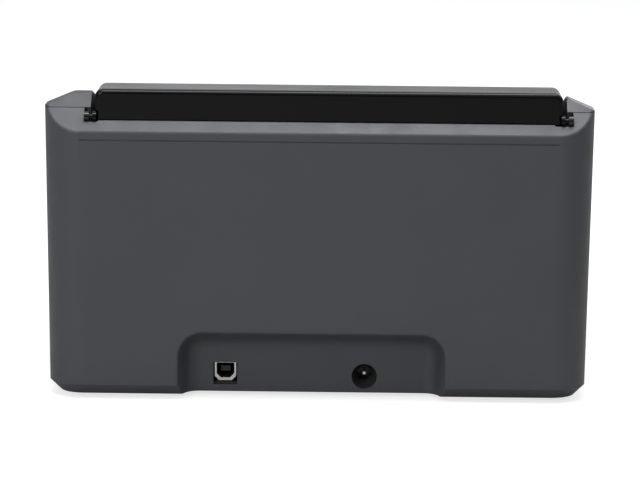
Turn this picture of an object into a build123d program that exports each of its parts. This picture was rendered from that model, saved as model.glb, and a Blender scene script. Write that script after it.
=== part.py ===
from build123d import *
import math
import os

os.makedirs("parts", exist_ok=True)

# Desktop duplex document scanner, closed, in millimetres.
# +Z is up, -Y is the front where paper comes out, +Y is the rear with the ports.
# The origin is on the floor under the middle of the machine.
# Right and left are those of a person who faces the front, so right is +X.

# Casing
body_width = 299.0
body_depth = 220.0
belt_z = 150.0
side_draft = 0.89
floor_gap = 2.0
bottom_chamfer = 5.8
rear_corner_radius = 20.0
front_corner_radius = 14.0
shell_wall = 2.5
bevel_low_z = 147.0
bevel_angle = 40.8
bevel_edge_radius = 2.5
lip_depth = 7.4
lip_radius = 0.8
crest_z = 165.5
crest_run = 12.6
front_slope_run = 60.0
shoulder_z = 137.0
front_break_z = 60.0
groove_z = 142.4
groove_width = 0.8
groove_depth = 0.5
seam_z = 158.4
seam_gap = 0.3
cap_drop = 7.1
bottom_lip = 8.0

# Cheeks, the caps of the side compartments
right_cheek_width = 25.2
left_cheek_width = 15.2
cheek_chamfer_width = 15.0
cheek_chamfer_height = 6.3
cheek_inner_radius = 1.2
cheek_crest_radius = 8.0
cheek_wall = 2.0

# Port recess in the rear
recess_x = 3.0
recess_width = 146.5
recess_top_z = 37.3
recess_depth = 14.6
recess_corner = 13.7
recess_slope = 24.0
recess_edge_radius = 1.6
recess_floor_radius = 9.0
usb_offset = 47.5
usb_cut_z = 12.05
usb_cut_width = 13.2
usb_cut_height = 12.6
usb_cut_corner = 0.8
usb_shell_width = 11.8
usb_shell_height = 10.2
usb_mouth_width = 9.6
usb_mouth_height = 8.2
usb_mouth_rise = 0.6
usb_mouth_chamfer = 2.3
usb_length = 16.8
usb_setback = 0.6
tongue_width = 5.6
tongue_height = 3.2
tongue_setback = 5.4
jack_offset = -28.9
jack_z = 11.1
jack_hole_radius = 7.0
jack_setback = 9.1
jack_width = 9.8
jack_length = 14.0
jack_bore_radius = 3.9
jack_bore_depth = 10.0
jack_pin_radius = 1.0
jack_pin_setback = 0.3
funnel_wall = 1.4
funnel_gap = 0.1

# Folding cover, which is the input tray when open
hinge_setback = 7.5
hinge_z = 154.3
cover_side_gap = 1.5
cover_side_lean = 1.0
cover_rise = 3.5
cover_flat = 31.6
cover_rear_gap = 1.8
cover_rear_drop = 3.9
cover_overhang = 3.0
cover_front_top_z = 141.5
cover_front_low_z = 130.5
cover_skin_wall = 2.5
cover_side_radius = 4.5
cover_edge_radius = 2.6
liner_thickness = 2.2
liner_side_gap = 0.2
pull_tab_width = 46.0
pull_tab_reach = 3.6
pull_tab_thickness = 2.2
pull_tab_z = 139.1
cover_pin_radius = 1.5
cover_ear_width = 2.0
cover_ear_radius = 2.9
right_notch_inner = 4.7
left_notch_inner = 7.3
notch_outer = 3.3
notch_depth = 5.45
notch_corner = 1.2
notch_drop = 8.0
bracket_width = 2.6
bracket_radius = 2.9
bracket_gap = 0.3
bracket_neck_drop = 5.0
bracket_arm_drop = 7.0
bracket_arm_near = 4.0
bracket_arm_depth = 7.0
bracket_arm_width = 5.0
bracket_arm_height = 17.0

# Sliding extension in the cover
extension_side_inset = 28.5
extension_start = 46.0
extension_low = 3.9
extension_thickness = 2.6
extension_grip_width = 60.0
extension_grip_height = 1.4
slide_gap = 0.4

# Paper side guides on the tray, moved together by racks and a pinion
guide_rest_inset = 17.8
guide_close_x = 34.5
guide_wall = 3.0
guide_start = 12.0
guide_length = 26.0
guide_height = 9.0
guide_foot_gap = 0.5
guide_neck = 3.4
guide_neck_gap = 0.5
rack_thickness = 2.4
rack_back = 4.5
rack_lift = 0.4
rack_overrun = 9.0
guide_teeth = 16
guide_module = 1.0
rack_backlash = 0.3
pinion_post_radius = 2.0

# Paper path
feed_slope = 11.0
chute_run = 94.5
bend_end_z = 47.0
bend_radius = 64.0
path_gap = 3.0
guide_plate = 2.0
chute_side_gap = 2.6
chute_top_drop = 6.4
exit_margin = 6.0
window_gap = 1.2

# Paper flag in the chute
flag_x = 38.0
flag_width = 4.0
flag_up = 30.0
flag_radius = 1.5
flag_hub_radius = 2.8
flag_depth = 6.0
flag_reach = 9.0
flag_slot_length = 18.0
flag_side_gap = 0.8
flag_ear_gap = 2.0
flag_ear_width = 3.0
flag_ear_radius = 4.0

# Rollers
running_gap = 0.05
shaft_radius = 3.0
roller_stand_out = 1.3
pick_radius = 10.0
pick_at = 52.0
separation_radius = 10.0
separation_at = 14.0
feed_radius = 8.0
feed_at_distance = 20.0
exit_radius = 7.0
exit_roller_setback = 22.1
brake_radius = 9.0
feed_pinch_radius = 6.0
exit_pinch_radius = 5.5
pinch_shaft_radius = 2.0
pick_tyre_width = 34.0
long_tyre_width = 30.0
long_tyre_x = 52.0
rib_thickness = 2.5
rib_gap = 1.5

# Side frames and bushes
frame_gap = 2.5
frame_thickness = 1.5
frame_flange = 14.0
bush_radius = 5.0
bush_overhang = 1.0
shaft_overhang = 1.2

# Gear train in the right side compartment
gear_module = 1.0
gear_gap = 1.4
gear_width = 6.0
gear_backlash = 0.16
feed_teeth = 36
motor_teeth = 12
climb_teeth = 58
separation_teeth = 26
link_teeth = 16
pick_teeth = 26
long_spare_teeth = 1
exit_teeth = 20
stub_radius = 2.0
stub_overhang = 1.0
motor_angle = -24.0
motor_radius = 17.5
motor_length = 23.0
motor_shaft_radius = 2.0
shaft_hole_gap = 1.5

# Scanning units
scan_end_inset = 6.0
scan_width = 16.0
scan_depth = 13.0
glass_thickness = 1.8
glass_set = 0.2
rear_scan_gap = 21.0
front_scan_gap = 29.1

# Front door
door_hinge_setback = 8.0
door_hinge_z = 40.0
door_foot_radius = 8.05
door_side_gap = 0.5
door_top_gap = 1.6
door_panel_wall = 2.5
door_inner_wall = 2.2
door_inner_inset = 5.9
door_knuckle_radius = 5.4
door_knuckle_width = 10.0
door_pin_radius = 2.5
ear_radius = 9.5
ear_gap = 0.8
ear_clearance = 1.2

# Control panel on the door
button_row = 44.0
power_inset = 26.1
power_radius = 7.0
small_button_radius = 5.5
small_button_gaps = (40.0, 21.0)
button_gap = 0.35
button_rise = 0.8
button_flange = 1.4
button_flange_gap = 0.8
button_flange_reach = 1.2
button_travel = 0.8
light_radius = 1.4
light_row = 60.0
board_thickness = 1.6
switch_size = 6.0
switch_height = 3.4
switch_gap = 0.4

# Upper frame under the cover
upper_cover_gap = 2.0
upper_door_gap = 1.0
upper_wall = 2.2
upper_side_gap = 0.8
upper_rear_setback = 50.5
mouth_height = 20.0
flag_groove_depth = 1.2
throat_up = 38.0
throat_lift = 9.0
throat_neck_up = 22.0
lid_gap = 0.1

# Base, bezel and feet
pan_thickness = 2.4
pan_side_gap = 0.4
socket_pocket = 0.9
foot_radius = 8.0
foot_side_setback = 29.5
foot_end_setback = 27.0
bezel_face_setback = 2.6
bezel_thickness = 2.6
bezel_bar_low_z = 15.8
bezel_bar_high_z = 19.6
bezel_shelf_thickness = 2.0
bezel_shelf_gap = 4.0
screw_radius = 1.45
screw_head_radius = 2.9
screw_head_height = 1.4
screw_length = 9.0
screw_gap = 0.15
screw_front_setback = 50.0
screw_middle_setback = 96.0
screw_rear_setback = 44.0

# Output tray with its extension and stop
tray_side_inset = 18.0
tray_low_z = 8.2
tray_thickness = 6.2
tray_travel = 80.0
tray_kept = 18.0
inner_tray_inset = 28.0
inner_tray_thickness = 2.4
inner_tray_travel = 60.0
inner_tray_kept = 20.0
stop_width = 64.0
stop_height = 8.4
stop_thickness = 2.0
stop_pin_radius = 0.9

# Main board
board_z = 18.2
board_depth = 41.9
board_left = 65.0
board_right = 73.0
board_rear_gap = 0.4
post_radius = 3.2
post_inset = 8.0
post_front = 7.0
post_rear = 20.2
board_chips = (
    (0.0, 25.0, 18.0, 18.0, 2.0),
    (25.0, 15.0, 14.0, 10.0, 1.6),
    (-27.0, 27.0, 14.0, 10.0, 1.6),
)
can_radius = 4.0
can_height = 12.0
can_inset = 20.0
can_pitch = 11.0
can_front = 8.0
can_count = 3
sink_inset = 13.0
sink_front = 22.0
sink_size = 16.0
sink_base = 2.0
sink_height = 10.0
fin_count = 5
fin_thickness = 1.2

# Values worked out from the sizes above
rear_y = body_depth / 2
front_y = -body_depth / 2
half_width = body_width / 2
shoulder_y = front_y + front_slope_run
cover_front_y = shoulder_y - cover_overhang
bevel_run = (crest_z - bevel_low_z) / math.tan(math.radians(bevel_angle))
bevel_top_y = rear_y - bevel_run
crest_y = bevel_top_y - crest_run
right_inner_x = half_width - right_cheek_width
left_inner_x = half_width - left_cheek_width
path_x = (right_inner_x - left_inner_x) / 2
cheek_x = (right_inner_x + left_inner_x) / 2
frame_x = cheek_x - frame_gap - frame_thickness
gear_x = cheek_x + cheek_wall + gear_gap
hinge_y = rear_y - hinge_setback
bend_end_y = hinge_y - chute_run
upper_rear_y = hinge_y - upper_rear_setback
cover_half = cheek_x - cover_side_gap
extension_half_width = cover_half - extension_side_inset
guide_rest_x = cover_half - guide_rest_inset
guide_travel = guide_rest_x - guide_close_x
chute_half_width = frame_x - chute_side_gap
scan_half_width = chute_half_width - scan_end_inset
tray_half_width = chute_half_width - tray_side_inset
inner_tray_half_width = tray_half_width - inner_tray_inset
foot_x = half_width - foot_side_setback
foot_y = rear_y - foot_end_setback
usb_x = recess_x + usb_offset
jack_x = recess_x + jack_offset
cover_rear_y = hinge_y - cover_rear_gap
cover_top_z = crest_z + cover_rise
tray_rear_z = hinge_z - cover_rear_drop
recess_floor_y = rear_y - recess_depth
recess_back_y = recess_floor_y - shell_wall
usb_z = board_z - usb_shell_height / 2
usb_mouth_z = usb_z + usb_mouth_rise
usb_mouth_y = recess_floor_y - usb_setback
jack_front_y = recess_floor_y - jack_setback
inner_floor_z = floor_gap + shell_wall
pan_top_z = inner_floor_z + pan_thickness + 0.1
inner_chamfer = bottom_chamfer - (2 - math.sqrt(2)) * shell_wall
pan_inset = shell_wall + inner_chamfer + pan_side_gap
slant = math.degrees(math.atan2(shoulder_z - front_break_z, shoulder_y - front_y))
tray_lean = math.degrees(
    math.atan2(tray_rear_z - cover_front_low_z, cover_rear_y - cover_front_y)
)
door_hinge = (front_y + door_hinge_setback, door_hinge_z)
door_half = cheek_x - door_side_gap
door_inner_half = door_half - door_inner_inset
power_x = door_half - power_inset
small_button_xs = [power_x - gap for gap in small_button_gaps]
light_xs = small_button_xs + [power_x]
board_rear_y = jack_front_y - board_rear_gap
board_front_y = board_rear_y - board_depth
board_left_x = recess_x - board_left
board_right_x = recess_x + board_right
screw_rows = (
    front_y + screw_front_setback,
    front_y + screw_middle_setback,
    rear_y - screw_rear_setback,
)
screw_x = frame_x - frame_flange / 2
tray_back_y = front_y + tray_travel + tray_kept
inner_tray_back_y = front_y + inner_tray_travel + inner_tray_kept
button_low = -door_panel_wall - button_flange_gap - button_flange


def polar(centre, length, angle):
    """The point at a length and an angle in degrees from a centre."""
    turn = math.radians(angle)
    return (centre[0] + length * math.cos(turn), centre[1] + length * math.sin(turn))


def distance(first, second):
    return math.hypot(second[0] - first[0], second[1] - first[1])


def half_width_at(height):
    """Half the casing's width at a height, with the draft of its sides."""
    return half_width + (height - belt_z) * math.tan(math.radians(side_draft))


def on_circle(start, direction, centre, radius):
    """Where a line leaves a circle, going from start along an angle in degrees."""
    ray = polar((0, 0), 1, direction)
    along = (start[0] - centre[0]) * ray[0] + (start[1] - centre[1]) * ray[1]
    level = distance(start, centre) ** 2 - radius**2
    return polar(start, math.sqrt(along**2 - level) - along, direction)


def two_circles(first, first_radius, second, second_radius, side):
    """The point at one distance from each of two centres, on the side given as 1 or -1."""
    gap = distance(first, second)
    reach = (gap**2 + first_radius**2 - second_radius**2) / (2 * gap)
    rise = math.sqrt(first_radius**2 - reach**2)
    heading = math.degrees(math.atan2(second[1] - first[1], second[0] - first[0]))
    foot = polar(first, reach, heading)
    return polar(foot, side * rise, heading + 90)


# The paper line: down the chute, round a bend, then gently down to the exit
feed_normal_angle = 90 + feed_slope
bend_end = (bend_end_y, bend_end_z)
bend_centre = polar(bend_end, bend_radius, feed_normal_angle)
chute_top = (hinge_y - chute_top_drop, hinge_z - chute_top_drop)
chute_heading = math.degrees(
    math.atan2(chute_top[1] - bend_centre[1], chute_top[0] - bend_centre[0])
)
chute_slope = chute_heading + math.degrees(
    math.asin(bend_radius / distance(chute_top, bend_centre))
)
bend_start = polar(bend_centre, bend_radius, chute_slope - 90)
chute_length = distance(bend_start, chute_top)
feed_length = (bend_end_y - front_y - exit_margin) / math.cos(math.radians(feed_slope))
exit_at_distance = feed_length - exit_roller_setback
rear_scan_at = feed_at_distance + rear_scan_gap
front_scan_at = exit_at_distance - front_scan_gap


def chute_at(up, lift):
    """A point up the chute from the bend, lifted off the paper line to the front."""
    return polar(polar(bend_start, up, chute_slope), lift, chute_slope + 90)


def feed_at(along, lift):
    """A point along the feed from the bend to the exit, lifted off the paper line."""
    return polar(polar(bend_end, -along, feed_slope), lift, feed_normal_angle)


def leaning_plane(origin, normal_angle):
    """A plane across the machine whose y runs 90 degrees before its normal in side view."""
    y, z = polar((0, 0), 1, normal_angle)
    return Plane(origin=(0, origin[0], origin[1]), x_dir=(1, 0, 0), z_dir=(0, y, z))


chute_plane = leaning_plane(bend_start, chute_slope + 90)
feed_plane = leaning_plane(bend_end, feed_normal_angle)
tray_plane = leaning_plane((cover_rear_y, tray_rear_z), 90 + tray_lean)
panel_plane = leaning_plane((front_y, front_break_z), 90 + slant)


def block(x, y, z):
    """A box from three pairs of low and high values."""
    size = (x[1] - x[0], y[1] - y[0], z[1] - z[0])
    middle = Pos(sum(x) / 2, sum(y) / 2, sum(z) / 2)
    return middle * Box(*size)


def both(shape):
    """A shape and its mirror image on the other side."""
    return shape + mirror(shape, Plane.YZ)


def group(shapes):
    """Separate solids that share one node."""
    return Compound(children=[solid for shape in shapes for solid in shape.solids()])


def slab(face, x):
    """A face in side view, drawn as y and z, made solid between two x values."""
    return extrude(Plane.YZ.offset(x[0]) * face, x[1] - x[0], dir=(1, 0, 0))


def outline(*points):
    return make_face(Polyline(*points, close=True))


def rod(radius, x, centre):
    """A round bar across the machine, with its centre given in side view."""
    bar = Cylinder(radius, x[1] - x[0], align=(Align.CENTER, Align.CENTER, Align.MIN))
    return Pos(x[0], centre[0], centre[1]) * Rot(0, 90, 0) * bar


def upright(radius, x, y, z):
    """A round bar that stands upright between two heights."""
    bar = Cylinder(radius, z[1] - z[0], align=(Align.CENTER, Align.CENTER, Align.MIN))
    return Pos(x, y, z[0]) * bar


def lengthwise(radius, x, z, y):
    """A round bar from front to rear between two y values."""
    bar = Cylinder(radius, y[1] - y[0], align=(Align.CENTER, Align.CENTER, Align.MIN))
    return Pos(x, y[0], z) * Rot(-90, 0, 0) * bar


def panel_rod(radius, x, up, depth):
    """A round bar square to the door's sloping face."""
    bar = Cylinder(radius, depth[1] - depth[0], align=(Align.CENTER, Align.CENTER, Align.MIN))
    return panel_plane * (Pos(x, up, depth[0]) * bar)


# Casing


def casing_block(inset):
    """The casing's plan with its draft and corners, before the top is cut."""
    low_z = floor_gap + inset
    high_z = crest_z + shell_wall
    low = half_width_at(low_z) - inset
    high = half_width_at(high_z) - inset
    face = outline((-low, low_z), (low, low_z), (high, high_z), (-high, high_z))
    body = extrude(Plane.XZ.offset(inset - rear_y) * face, body_depth - 2 * inset, dir=(0, -1, 0))
    uprights = body.edges().filter_by(lambda edge: abs(edge.center().X) > half_width / 2)
    rear_pair = uprights.filter_by(lambda edge: edge.center().Y > rear_y - inset - 0.1)
    front_pair = uprights.filter_by(lambda edge: edge.center().Y < front_y + inset + 0.1)
    body = fillet(rear_pair, rear_corner_radius - inset)
    fronts = body.edges().filter_by(
        lambda edge: any((edge.center() - old.center()).length < 0.01 for old in front_pair)
    )
    body = fillet(fronts, front_corner_radius - inset)
    bottom = body.faces().sort_by(Axis.Z)[0].edges()
    return chamfer(bottom, inner_chamfer if inset else bottom_chamfer)


def casing_profile(inset):
    """The casing's side view: rear bevel, crest, long slope and slanting front."""
    reach = 30.0
    bevel_fall = reach * math.tan(math.radians(bevel_angle))
    front_fall = reach * math.tan(math.radians(slant))
    face = outline(
        (rear_y + reach, -reach),
        (rear_y + reach, bevel_low_z - bevel_fall),
        (bevel_top_y, crest_z),
        (crest_y, crest_z),
        (shoulder_y, shoulder_z),
        (front_y - reach, front_break_z - front_fall),
        (front_y - reach, -reach),
    )
    if inset:
        face = offset(face, -inset, kind=Kind.INTERSECTION)
    return slab(face, (-body_width, body_width))


def bevel_edge(body):
    """The lower edge of the rear bevel, which its curves round the corners follow."""
    across = body.edges().filter_by(Axis.X)
    return across.filter_by_position(Axis.Z, bevel_low_z - 0.1, bevel_low_z + 0.1)


casing_outer = casing_block(0) & casing_profile(0)
casing_outer = fillet(bevel_edge(casing_outer), bevel_edge_radius)
casing_inner = casing_block(shell_wall) & casing_profile(shell_wall)


def port_recess(grow):
    """The hollow around the ports, with sloping sides, or the walls around it."""
    height = 2 * recess_top_z
    face = RectangleRounded(recess_width + 2 * grow, height, recess_corner)
    centre = Pos(recess_x, recess_top_z + grow - height / 2)
    plane = Plane.XZ.offset(-rear_y)
    body = extrude(plane * (centre * face), recess_depth + grow, taper=recess_slope)
    if grow:
        return body
    return fillet(body.faces().sort_by(Axis.Y)[0].edges(), recess_floor_radius)


def recess_rim(body):
    """The edges where the port recess meets the rear face."""
    low_z = floor_gap + bottom_chamfer
    half = recess_width / 2 + 1
    on_rear = body.edges().filter_by(lambda edge: abs(edge.center().Y - rear_y) < 0.01)
    low = on_rear.filter_by(lambda edge: low_z < edge.center().Z < recess_top_z + 1)
    return low.filter_by(lambda edge: abs(edge.center().X - recess_x) < half)


def above_seam(gap):
    """Side view of what belongs to a cheek's cap, over the seam and down the front."""
    along_front = polar((shoulder_y, shoulder_z), cap_drop, slant - 90)
    return outline(
        (rear_y + 10, seam_z + gap),
        (crest_y, seam_z + gap),
        (along_front[0], shoulder_z - cap_drop + gap),
        (front_y + cap_drop - gap, front_break_z - cap_drop / 3),
        (front_y + cap_drop - gap, -10),
        (front_y - 10, -10),
        (front_y - 10, crest_z + 20),
        (rear_y + 10, crest_z + 20),
    )


def hinge_notch(inner_x, reach):
    """The slot beside the cover where its hinge pin shows, drawn as the right one."""
    x = (inner_x - reach, inner_x + notch_outer)
    back = rear_y - notch_depth
    cut = block(x, (hinge_y - notch_drop, back), (hinge_z - notch_drop, seam_z))
    corners = cut.edges().filter_by(Axis.Z).filter_by(lambda edge: edge.center().Y > hinge_y)
    return fillet(corners, notch_corner)


right_notch = hinge_notch(right_inner_x, right_notch_inner)
left_notch = mirror(hinge_notch(left_inner_x, left_notch_inner), Plane.YZ)


def lip_edge(body):
    """The edge where the rear bevel ends in front of the cover, between the two notches."""
    at_lip = body.edges().filter_by(Axis.X).filter_by(
        lambda edge: abs(edge.center().Y - rear_y + lip_depth) < 0.01
    )
    return at_lip.sort_by(Axis.Z)[-1:]


def rear_shell():
    body = casing_outer - casing_inner
    body = body + (port_recess(shell_wall) & casing_outer)
    body = body - port_recess(0)
    body = fillet(recess_rim(body), recess_edge_radius)
    beyond = half_width + 20
    body = body - slab(above_seam(0), (right_inner_x, beyond))
    body = body - slab(above_seam(0), (-beyond, -left_inner_x))
    lip_y = rear_y - lip_depth
    recess_roof = recess_top_z + shell_wall
    centre_cut = outline(
        (lip_y, crest_z + 20),
        (lip_y, recess_roof),
        (recess_back_y, recess_roof),
        (recess_back_y, inner_floor_z),
        (front_y - 10, inner_floor_z),
        (front_y - 10, crest_z + 20),
    )
    body = body - slab(centre_cut, (-left_inner_x, right_inner_x))
    body = body - right_notch - left_notch
    body = fillet(lip_edge(body), lip_radius)
    groove_x = half_width_at(groove_z) - rear_corner_radius
    body = body - block(
        (-groove_x, groove_x),
        (rear_y - groove_depth, rear_y + 1),
        (groove_z - groove_width / 2, groove_z + groove_width / 2),
    )
    lip_x = half_width_at(floor_gap) - bottom_chamfer - bottom_lip
    body = body - block(
        (-lip_x, lip_x),
        (front_y + bottom_chamfer + bottom_lip, recess_back_y),
        (0, inner_floor_z + 0.05),
    )
    body = body - usb_cut()
    hole_y = (recess_back_y - 1, recess_floor_y + 1)
    return body - lengthwise(jack_hole_radius, jack_x, jack_z, hole_y)


def usb_cut():
    x = (usb_x - usb_cut_width / 2, usb_x + usb_cut_width / 2)
    z = (usb_cut_z - usb_cut_height / 2, usb_cut_z + usb_cut_height / 2)
    cut = block(x, (recess_back_y - 1, recess_floor_y + 1), z)
    return fillet(cut.edges().filter_by(Axis.Y), usb_cut_corner)


def cheek_roof(drop, inner_x):
    """Room under the cheek's top with its broad outer chamfer, dropped for the inside."""
    run = 3 * cheek_chamfer_width
    fall = 3 * cheek_chamfer_height
    edge_x = half_width_at(seam_z) - cheek_chamfer_width

    def section(y, z):
        top = z - drop
        low = top - 2 * body_depth
        far_x = edge_x + run
        face = outline((0, low), (0, top), (edge_x, top), (far_x, top - fall), (far_x, low))
        crest = face.vertices().filter_by(lambda corner: abs(corner.X - edge_x) < 0.01)
        face = fillet(crest, cheek_crest_radius)
        face = face - outline((-1, low), (-1, top + 1), (inner_x, top + 1), (inner_x, low))
        inner = face.vertices().group_by(Axis.X)[0].sort_by(Axis.Y)[-1:]
        face = fillet(inner, cheek_inner_radius)
        return Plane.XZ.offset(-y) * face

    slope = Vector(0, shoulder_y - crest_y, shoulder_z - crest_z)
    front = Vector(0, front_y - shoulder_y, front_break_z - shoulder_z)
    flat = extrude(section(crest_y, crest_z), rear_y - crest_y + 10, dir=(0, 1, 0))
    middle = extrude(section(crest_y, crest_z), slope.length, dir=slope)
    low = extrude(section(shoulder_y, shoulder_z), 1.2 * front.length, dir=front)
    return flat + middle + low


def cheek(inner_x):
    """A cheek from its inner face outward, drawn as the right one, without holes."""
    beyond = half_width + 20
    wall_x = (inner_x, inner_x + cheek_wall)
    cap = casing_outer & slab(above_seam(seam_gap), (inner_x, beyond))
    cap = cap & cheek_roof(0, inner_x)
    hollow = casing_inner & cheek_roof(shell_wall, inner_x)
    hollow = hollow & block((wall_x[1], beyond), (front_y, rear_y), (0, crest_z + 20))
    wall = casing_inner & block(wall_x, (front_y, rear_y), (pan_top_z, crest_z))
    return cap - hollow + wall


def right_cheek():
    """The right cheek, whose inner wall lets the shafts through to the gears."""
    pass_radius = shaft_radius + shaft_hole_gap
    across = (right_inner_x - 1, right_inner_x + cheek_wall + 1)
    holes = [rod(pass_radius, across, centre) for centre in train_centres()]
    return cheek(right_inner_x) - right_notch - holes


def left_cheek():
    return mirror(cheek(left_inner_x), Plane.YZ) - left_notch


# Rollers, shafts and their places in side view

pick_centre = chute_at(pick_at, roller_stand_out - pick_radius)
separation_centre = chute_at(separation_at, roller_stand_out - separation_radius)
feed_centre = feed_at(feed_at_distance, roller_stand_out - feed_radius)
exit_centre = feed_at(exit_at_distance, roller_stand_out - exit_radius)
brake_centre = chute_at(separation_at, path_gap - roller_stand_out + brake_radius)
feed_pinch_centre = feed_at(feed_at_distance, path_gap - roller_stand_out + feed_pinch_radius)
exit_pinch_centre = feed_at(exit_at_distance, path_gap - roller_stand_out + exit_pinch_radius)


def pitch_radius(teeth):
    return gear_module * teeth / 2


motor_centre = polar(feed_centre, pitch_radius(feed_teeth + motor_teeth), motor_angle)
climb_centre = two_circles(
    feed_centre,
    pitch_radius(feed_teeth + climb_teeth),
    separation_centre,
    pitch_radius(separation_teeth + climb_teeth),
    1,
)
link_centre = two_circles(
    separation_centre,
    pitch_radius(separation_teeth + link_teeth),
    pick_centre,
    pitch_radius(pick_teeth + link_teeth),
    -1,
)
# The long gear has just enough teeth to bridge the feed and exit gears off their line.
long_teeth = (
    math.ceil(2 * distance(feed_centre, exit_centre) / gear_module - feed_teeth - exit_teeth) // 2
    + 1
    + long_spare_teeth
)
long_centre = two_circles(
    feed_centre,
    pitch_radius(feed_teeth + long_teeth),
    exit_centre,
    pitch_radius(exit_teeth + long_teeth),
    -1,
)


def shaft_centres():
    return [pick_centre, separation_centre, feed_centre, exit_centre]


def train_centres():
    """Every centre at which a shaft or a stub passes into the gear compartment."""
    return shaft_centres() + [motor_centre, climb_centre, link_centre, long_centre]


def drive_shaft(centre):
    left_end = -frame_x - frame_thickness - shaft_overhang
    return rod(shaft_radius, (left_end, gear_x + gear_width), centre)


def tyre(radius, x, width, centre, bore):
    ring = rod(radius, (x - width / 2, x + width / 2), centre)
    return ring - rod(bore, (x - width, x + width), centre)


def tyre_pair(radius, centre, bore):
    return group(
        [tyre(radius, side * long_tyre_x, long_tyre_width, centre, bore) for side in (-1, 1)]
    )


def pinch_roller(radius, centre):
    """An idle roller: a thin shaft with soft tyres fixed on it, in one piece."""
    half = long_tyre_width / 2
    reach = long_tyre_x + half + rib_gap + rib_thickness
    body = rod(pinch_shaft_radius, (-reach, reach), centre)
    for x in (-long_tyre_x, long_tyre_x):
        body = body + rod(radius, (x - half, x + half), centre)
    return body


# Gears


def tooth_half_angle(teeth, radius, backlash):
    """Half the angle of a tooth at a radius, from the involute of a 20 degree gear."""
    pressure = math.radians(20)
    base = pitch_radius(teeth) * math.cos(pressure)
    at_pitch = math.tan(pressure) - pressure
    angle = math.acos(min(1.0, base / radius))
    half_at_pitch = math.pi / 2 / teeth - backlash / 2 / pitch_radius(teeth)
    return half_at_pitch + at_pitch - (math.tan(angle) - angle)


def gear_face(teeth, phase, module=gear_module, backlash=gear_backlash):
    """A toothed disc with one tooth centred at the phase, in degrees."""
    scale = module / gear_module
    tip = pitch_radius(teeth) + 0.9 * gear_module
    root = pitch_radius(teeth) - 1.15 * gear_module
    corners = []
    for number in range(teeth):
        middle = math.radians(phase) + 2 * math.pi * number / teeth
        for radius, side in ((root, -1), (tip, -1), (tip, 1), (root, 1)):
            turn = middle + side * tooth_half_angle(teeth, radius, backlash)
            corners.append((scale * radius * math.cos(turn), scale * radius * math.sin(turn)))
    return make_face(Polyline(*corners, close=True))


def meshing_phase(centre, teeth, phase, other_centre, other_teeth):
    """The phase of a gear that fits a first gear whose centre, teeth and phase are given."""
    heading = math.degrees(
        math.atan2(other_centre[1] - centre[1], other_centre[0] - centre[0])
    )
    pitch = 360 / teeth
    behind = (heading - phase) % pitch
    return heading + 180 + behind * teeth / other_teeth + 180 / other_teeth


def gear(teeth, phase, centre, bore):
    face = Pos(*centre) * (gear_face(teeth, phase) - Circle(bore))
    return slab(face, (gear_x, gear_x + gear_width))


feed_phase = 0.0
motor_phase = meshing_phase(feed_centre, feed_teeth, feed_phase, motor_centre, motor_teeth)
climb_phase = meshing_phase(feed_centre, feed_teeth, feed_phase, climb_centre, climb_teeth)
separation_phase = meshing_phase(
    climb_centre, climb_teeth, climb_phase, separation_centre, separation_teeth
)
link_phase = meshing_phase(
    separation_centre, separation_teeth, separation_phase, link_centre, link_teeth
)
pick_phase = meshing_phase(link_centre, link_teeth, link_phase, pick_centre, pick_teeth)
long_phase = meshing_phase(feed_centre, feed_teeth, feed_phase, long_centre, long_teeth)
exit_phase = meshing_phase(long_centre, long_teeth, long_phase, exit_centre, exit_teeth)


def stub_pins():
    """The pins riveted in the right side frame that the idle gears turn on."""
    reach = (frame_x, gear_x + gear_width + stub_overhang)
    return [rod(stub_radius, reach, centre) for centre in (climb_centre, link_centre, long_centre)]


def motor_can():
    can = rod(motor_radius, (frame_x - motor_length, frame_x), motor_centre)
    bore_x = (frame_x - motor_length / 2, frame_x + 1)
    return can - rod(motor_shaft_radius + running_gap, bore_x, motor_centre)


def motor_pinion():
    """The motor's shaft with the small gear cut on its end."""
    shaft = rod(motor_shaft_radius, (frame_x - motor_length / 2 + 1, gear_x + 1), motor_centre)
    face = Pos(*motor_centre) * gear_face(motor_teeth, motor_phase)
    return shaft + slab(face, (gear_x, gear_x + gear_width))


# Side frames


def side_frame(side):
    """A steel side plate with a foot flange and holes for bushes, on one side."""
    low = pan_top_z
    front = front_y + 19
    face = outline(
        (front, low),
        (front, door_hinge_z + 10),
        (shoulder_y + 2, shoulder_z - 29),
        (shoulder_y + 6, shoulder_z - 15),
        (upper_rear_y, hinge_z - 20),
        (hinge_y - 11, hinge_z - 16),
        (hinge_y - 5, hinge_z - 34),
        (hinge_y - 5, recess_top_z + shell_wall + 3),
        (recess_back_y - 2, recess_top_z + shell_wall),
        (recess_back_y - 2, low),
    )
    plate = slab(face, (frame_x, frame_x + frame_thickness))
    flange = block(
        (frame_x - frame_flange, frame_x),
        (front + 10, recess_back_y - 6),
        (low, low + frame_thickness),
    )
    body = plate + flange
    reach = (frame_x - 1, frame_x + frame_thickness + 1)
    for centre in shaft_centres():
        body = body - rod(bush_radius, reach, centre)
    body = body - rod(motor_shaft_radius + shaft_hole_gap, reach, motor_centre)
    for y in screw_rows:
        body = body - upright(screw_radius + screw_gap, screw_x, y, (low - 1, low + 5))
    if side < 0:
        return mirror(body, Plane.YZ)
    return body + stub_pins()


def bushes():
    """The plain bearings of the four driven shafts, in both side frames."""
    reach = (frame_x - bush_overhang, frame_x + frame_thickness + bush_overhang)
    bore = (reach[0] - 1, reach[1] + 1)
    rings = [
        rod(bush_radius, reach, centre) - rod(shaft_radius + running_gap, bore, centre)
        for centre in shaft_centres()
    ]
    return group(rings + [mirror(ring, Plane.YZ) for ring in rings])


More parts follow.
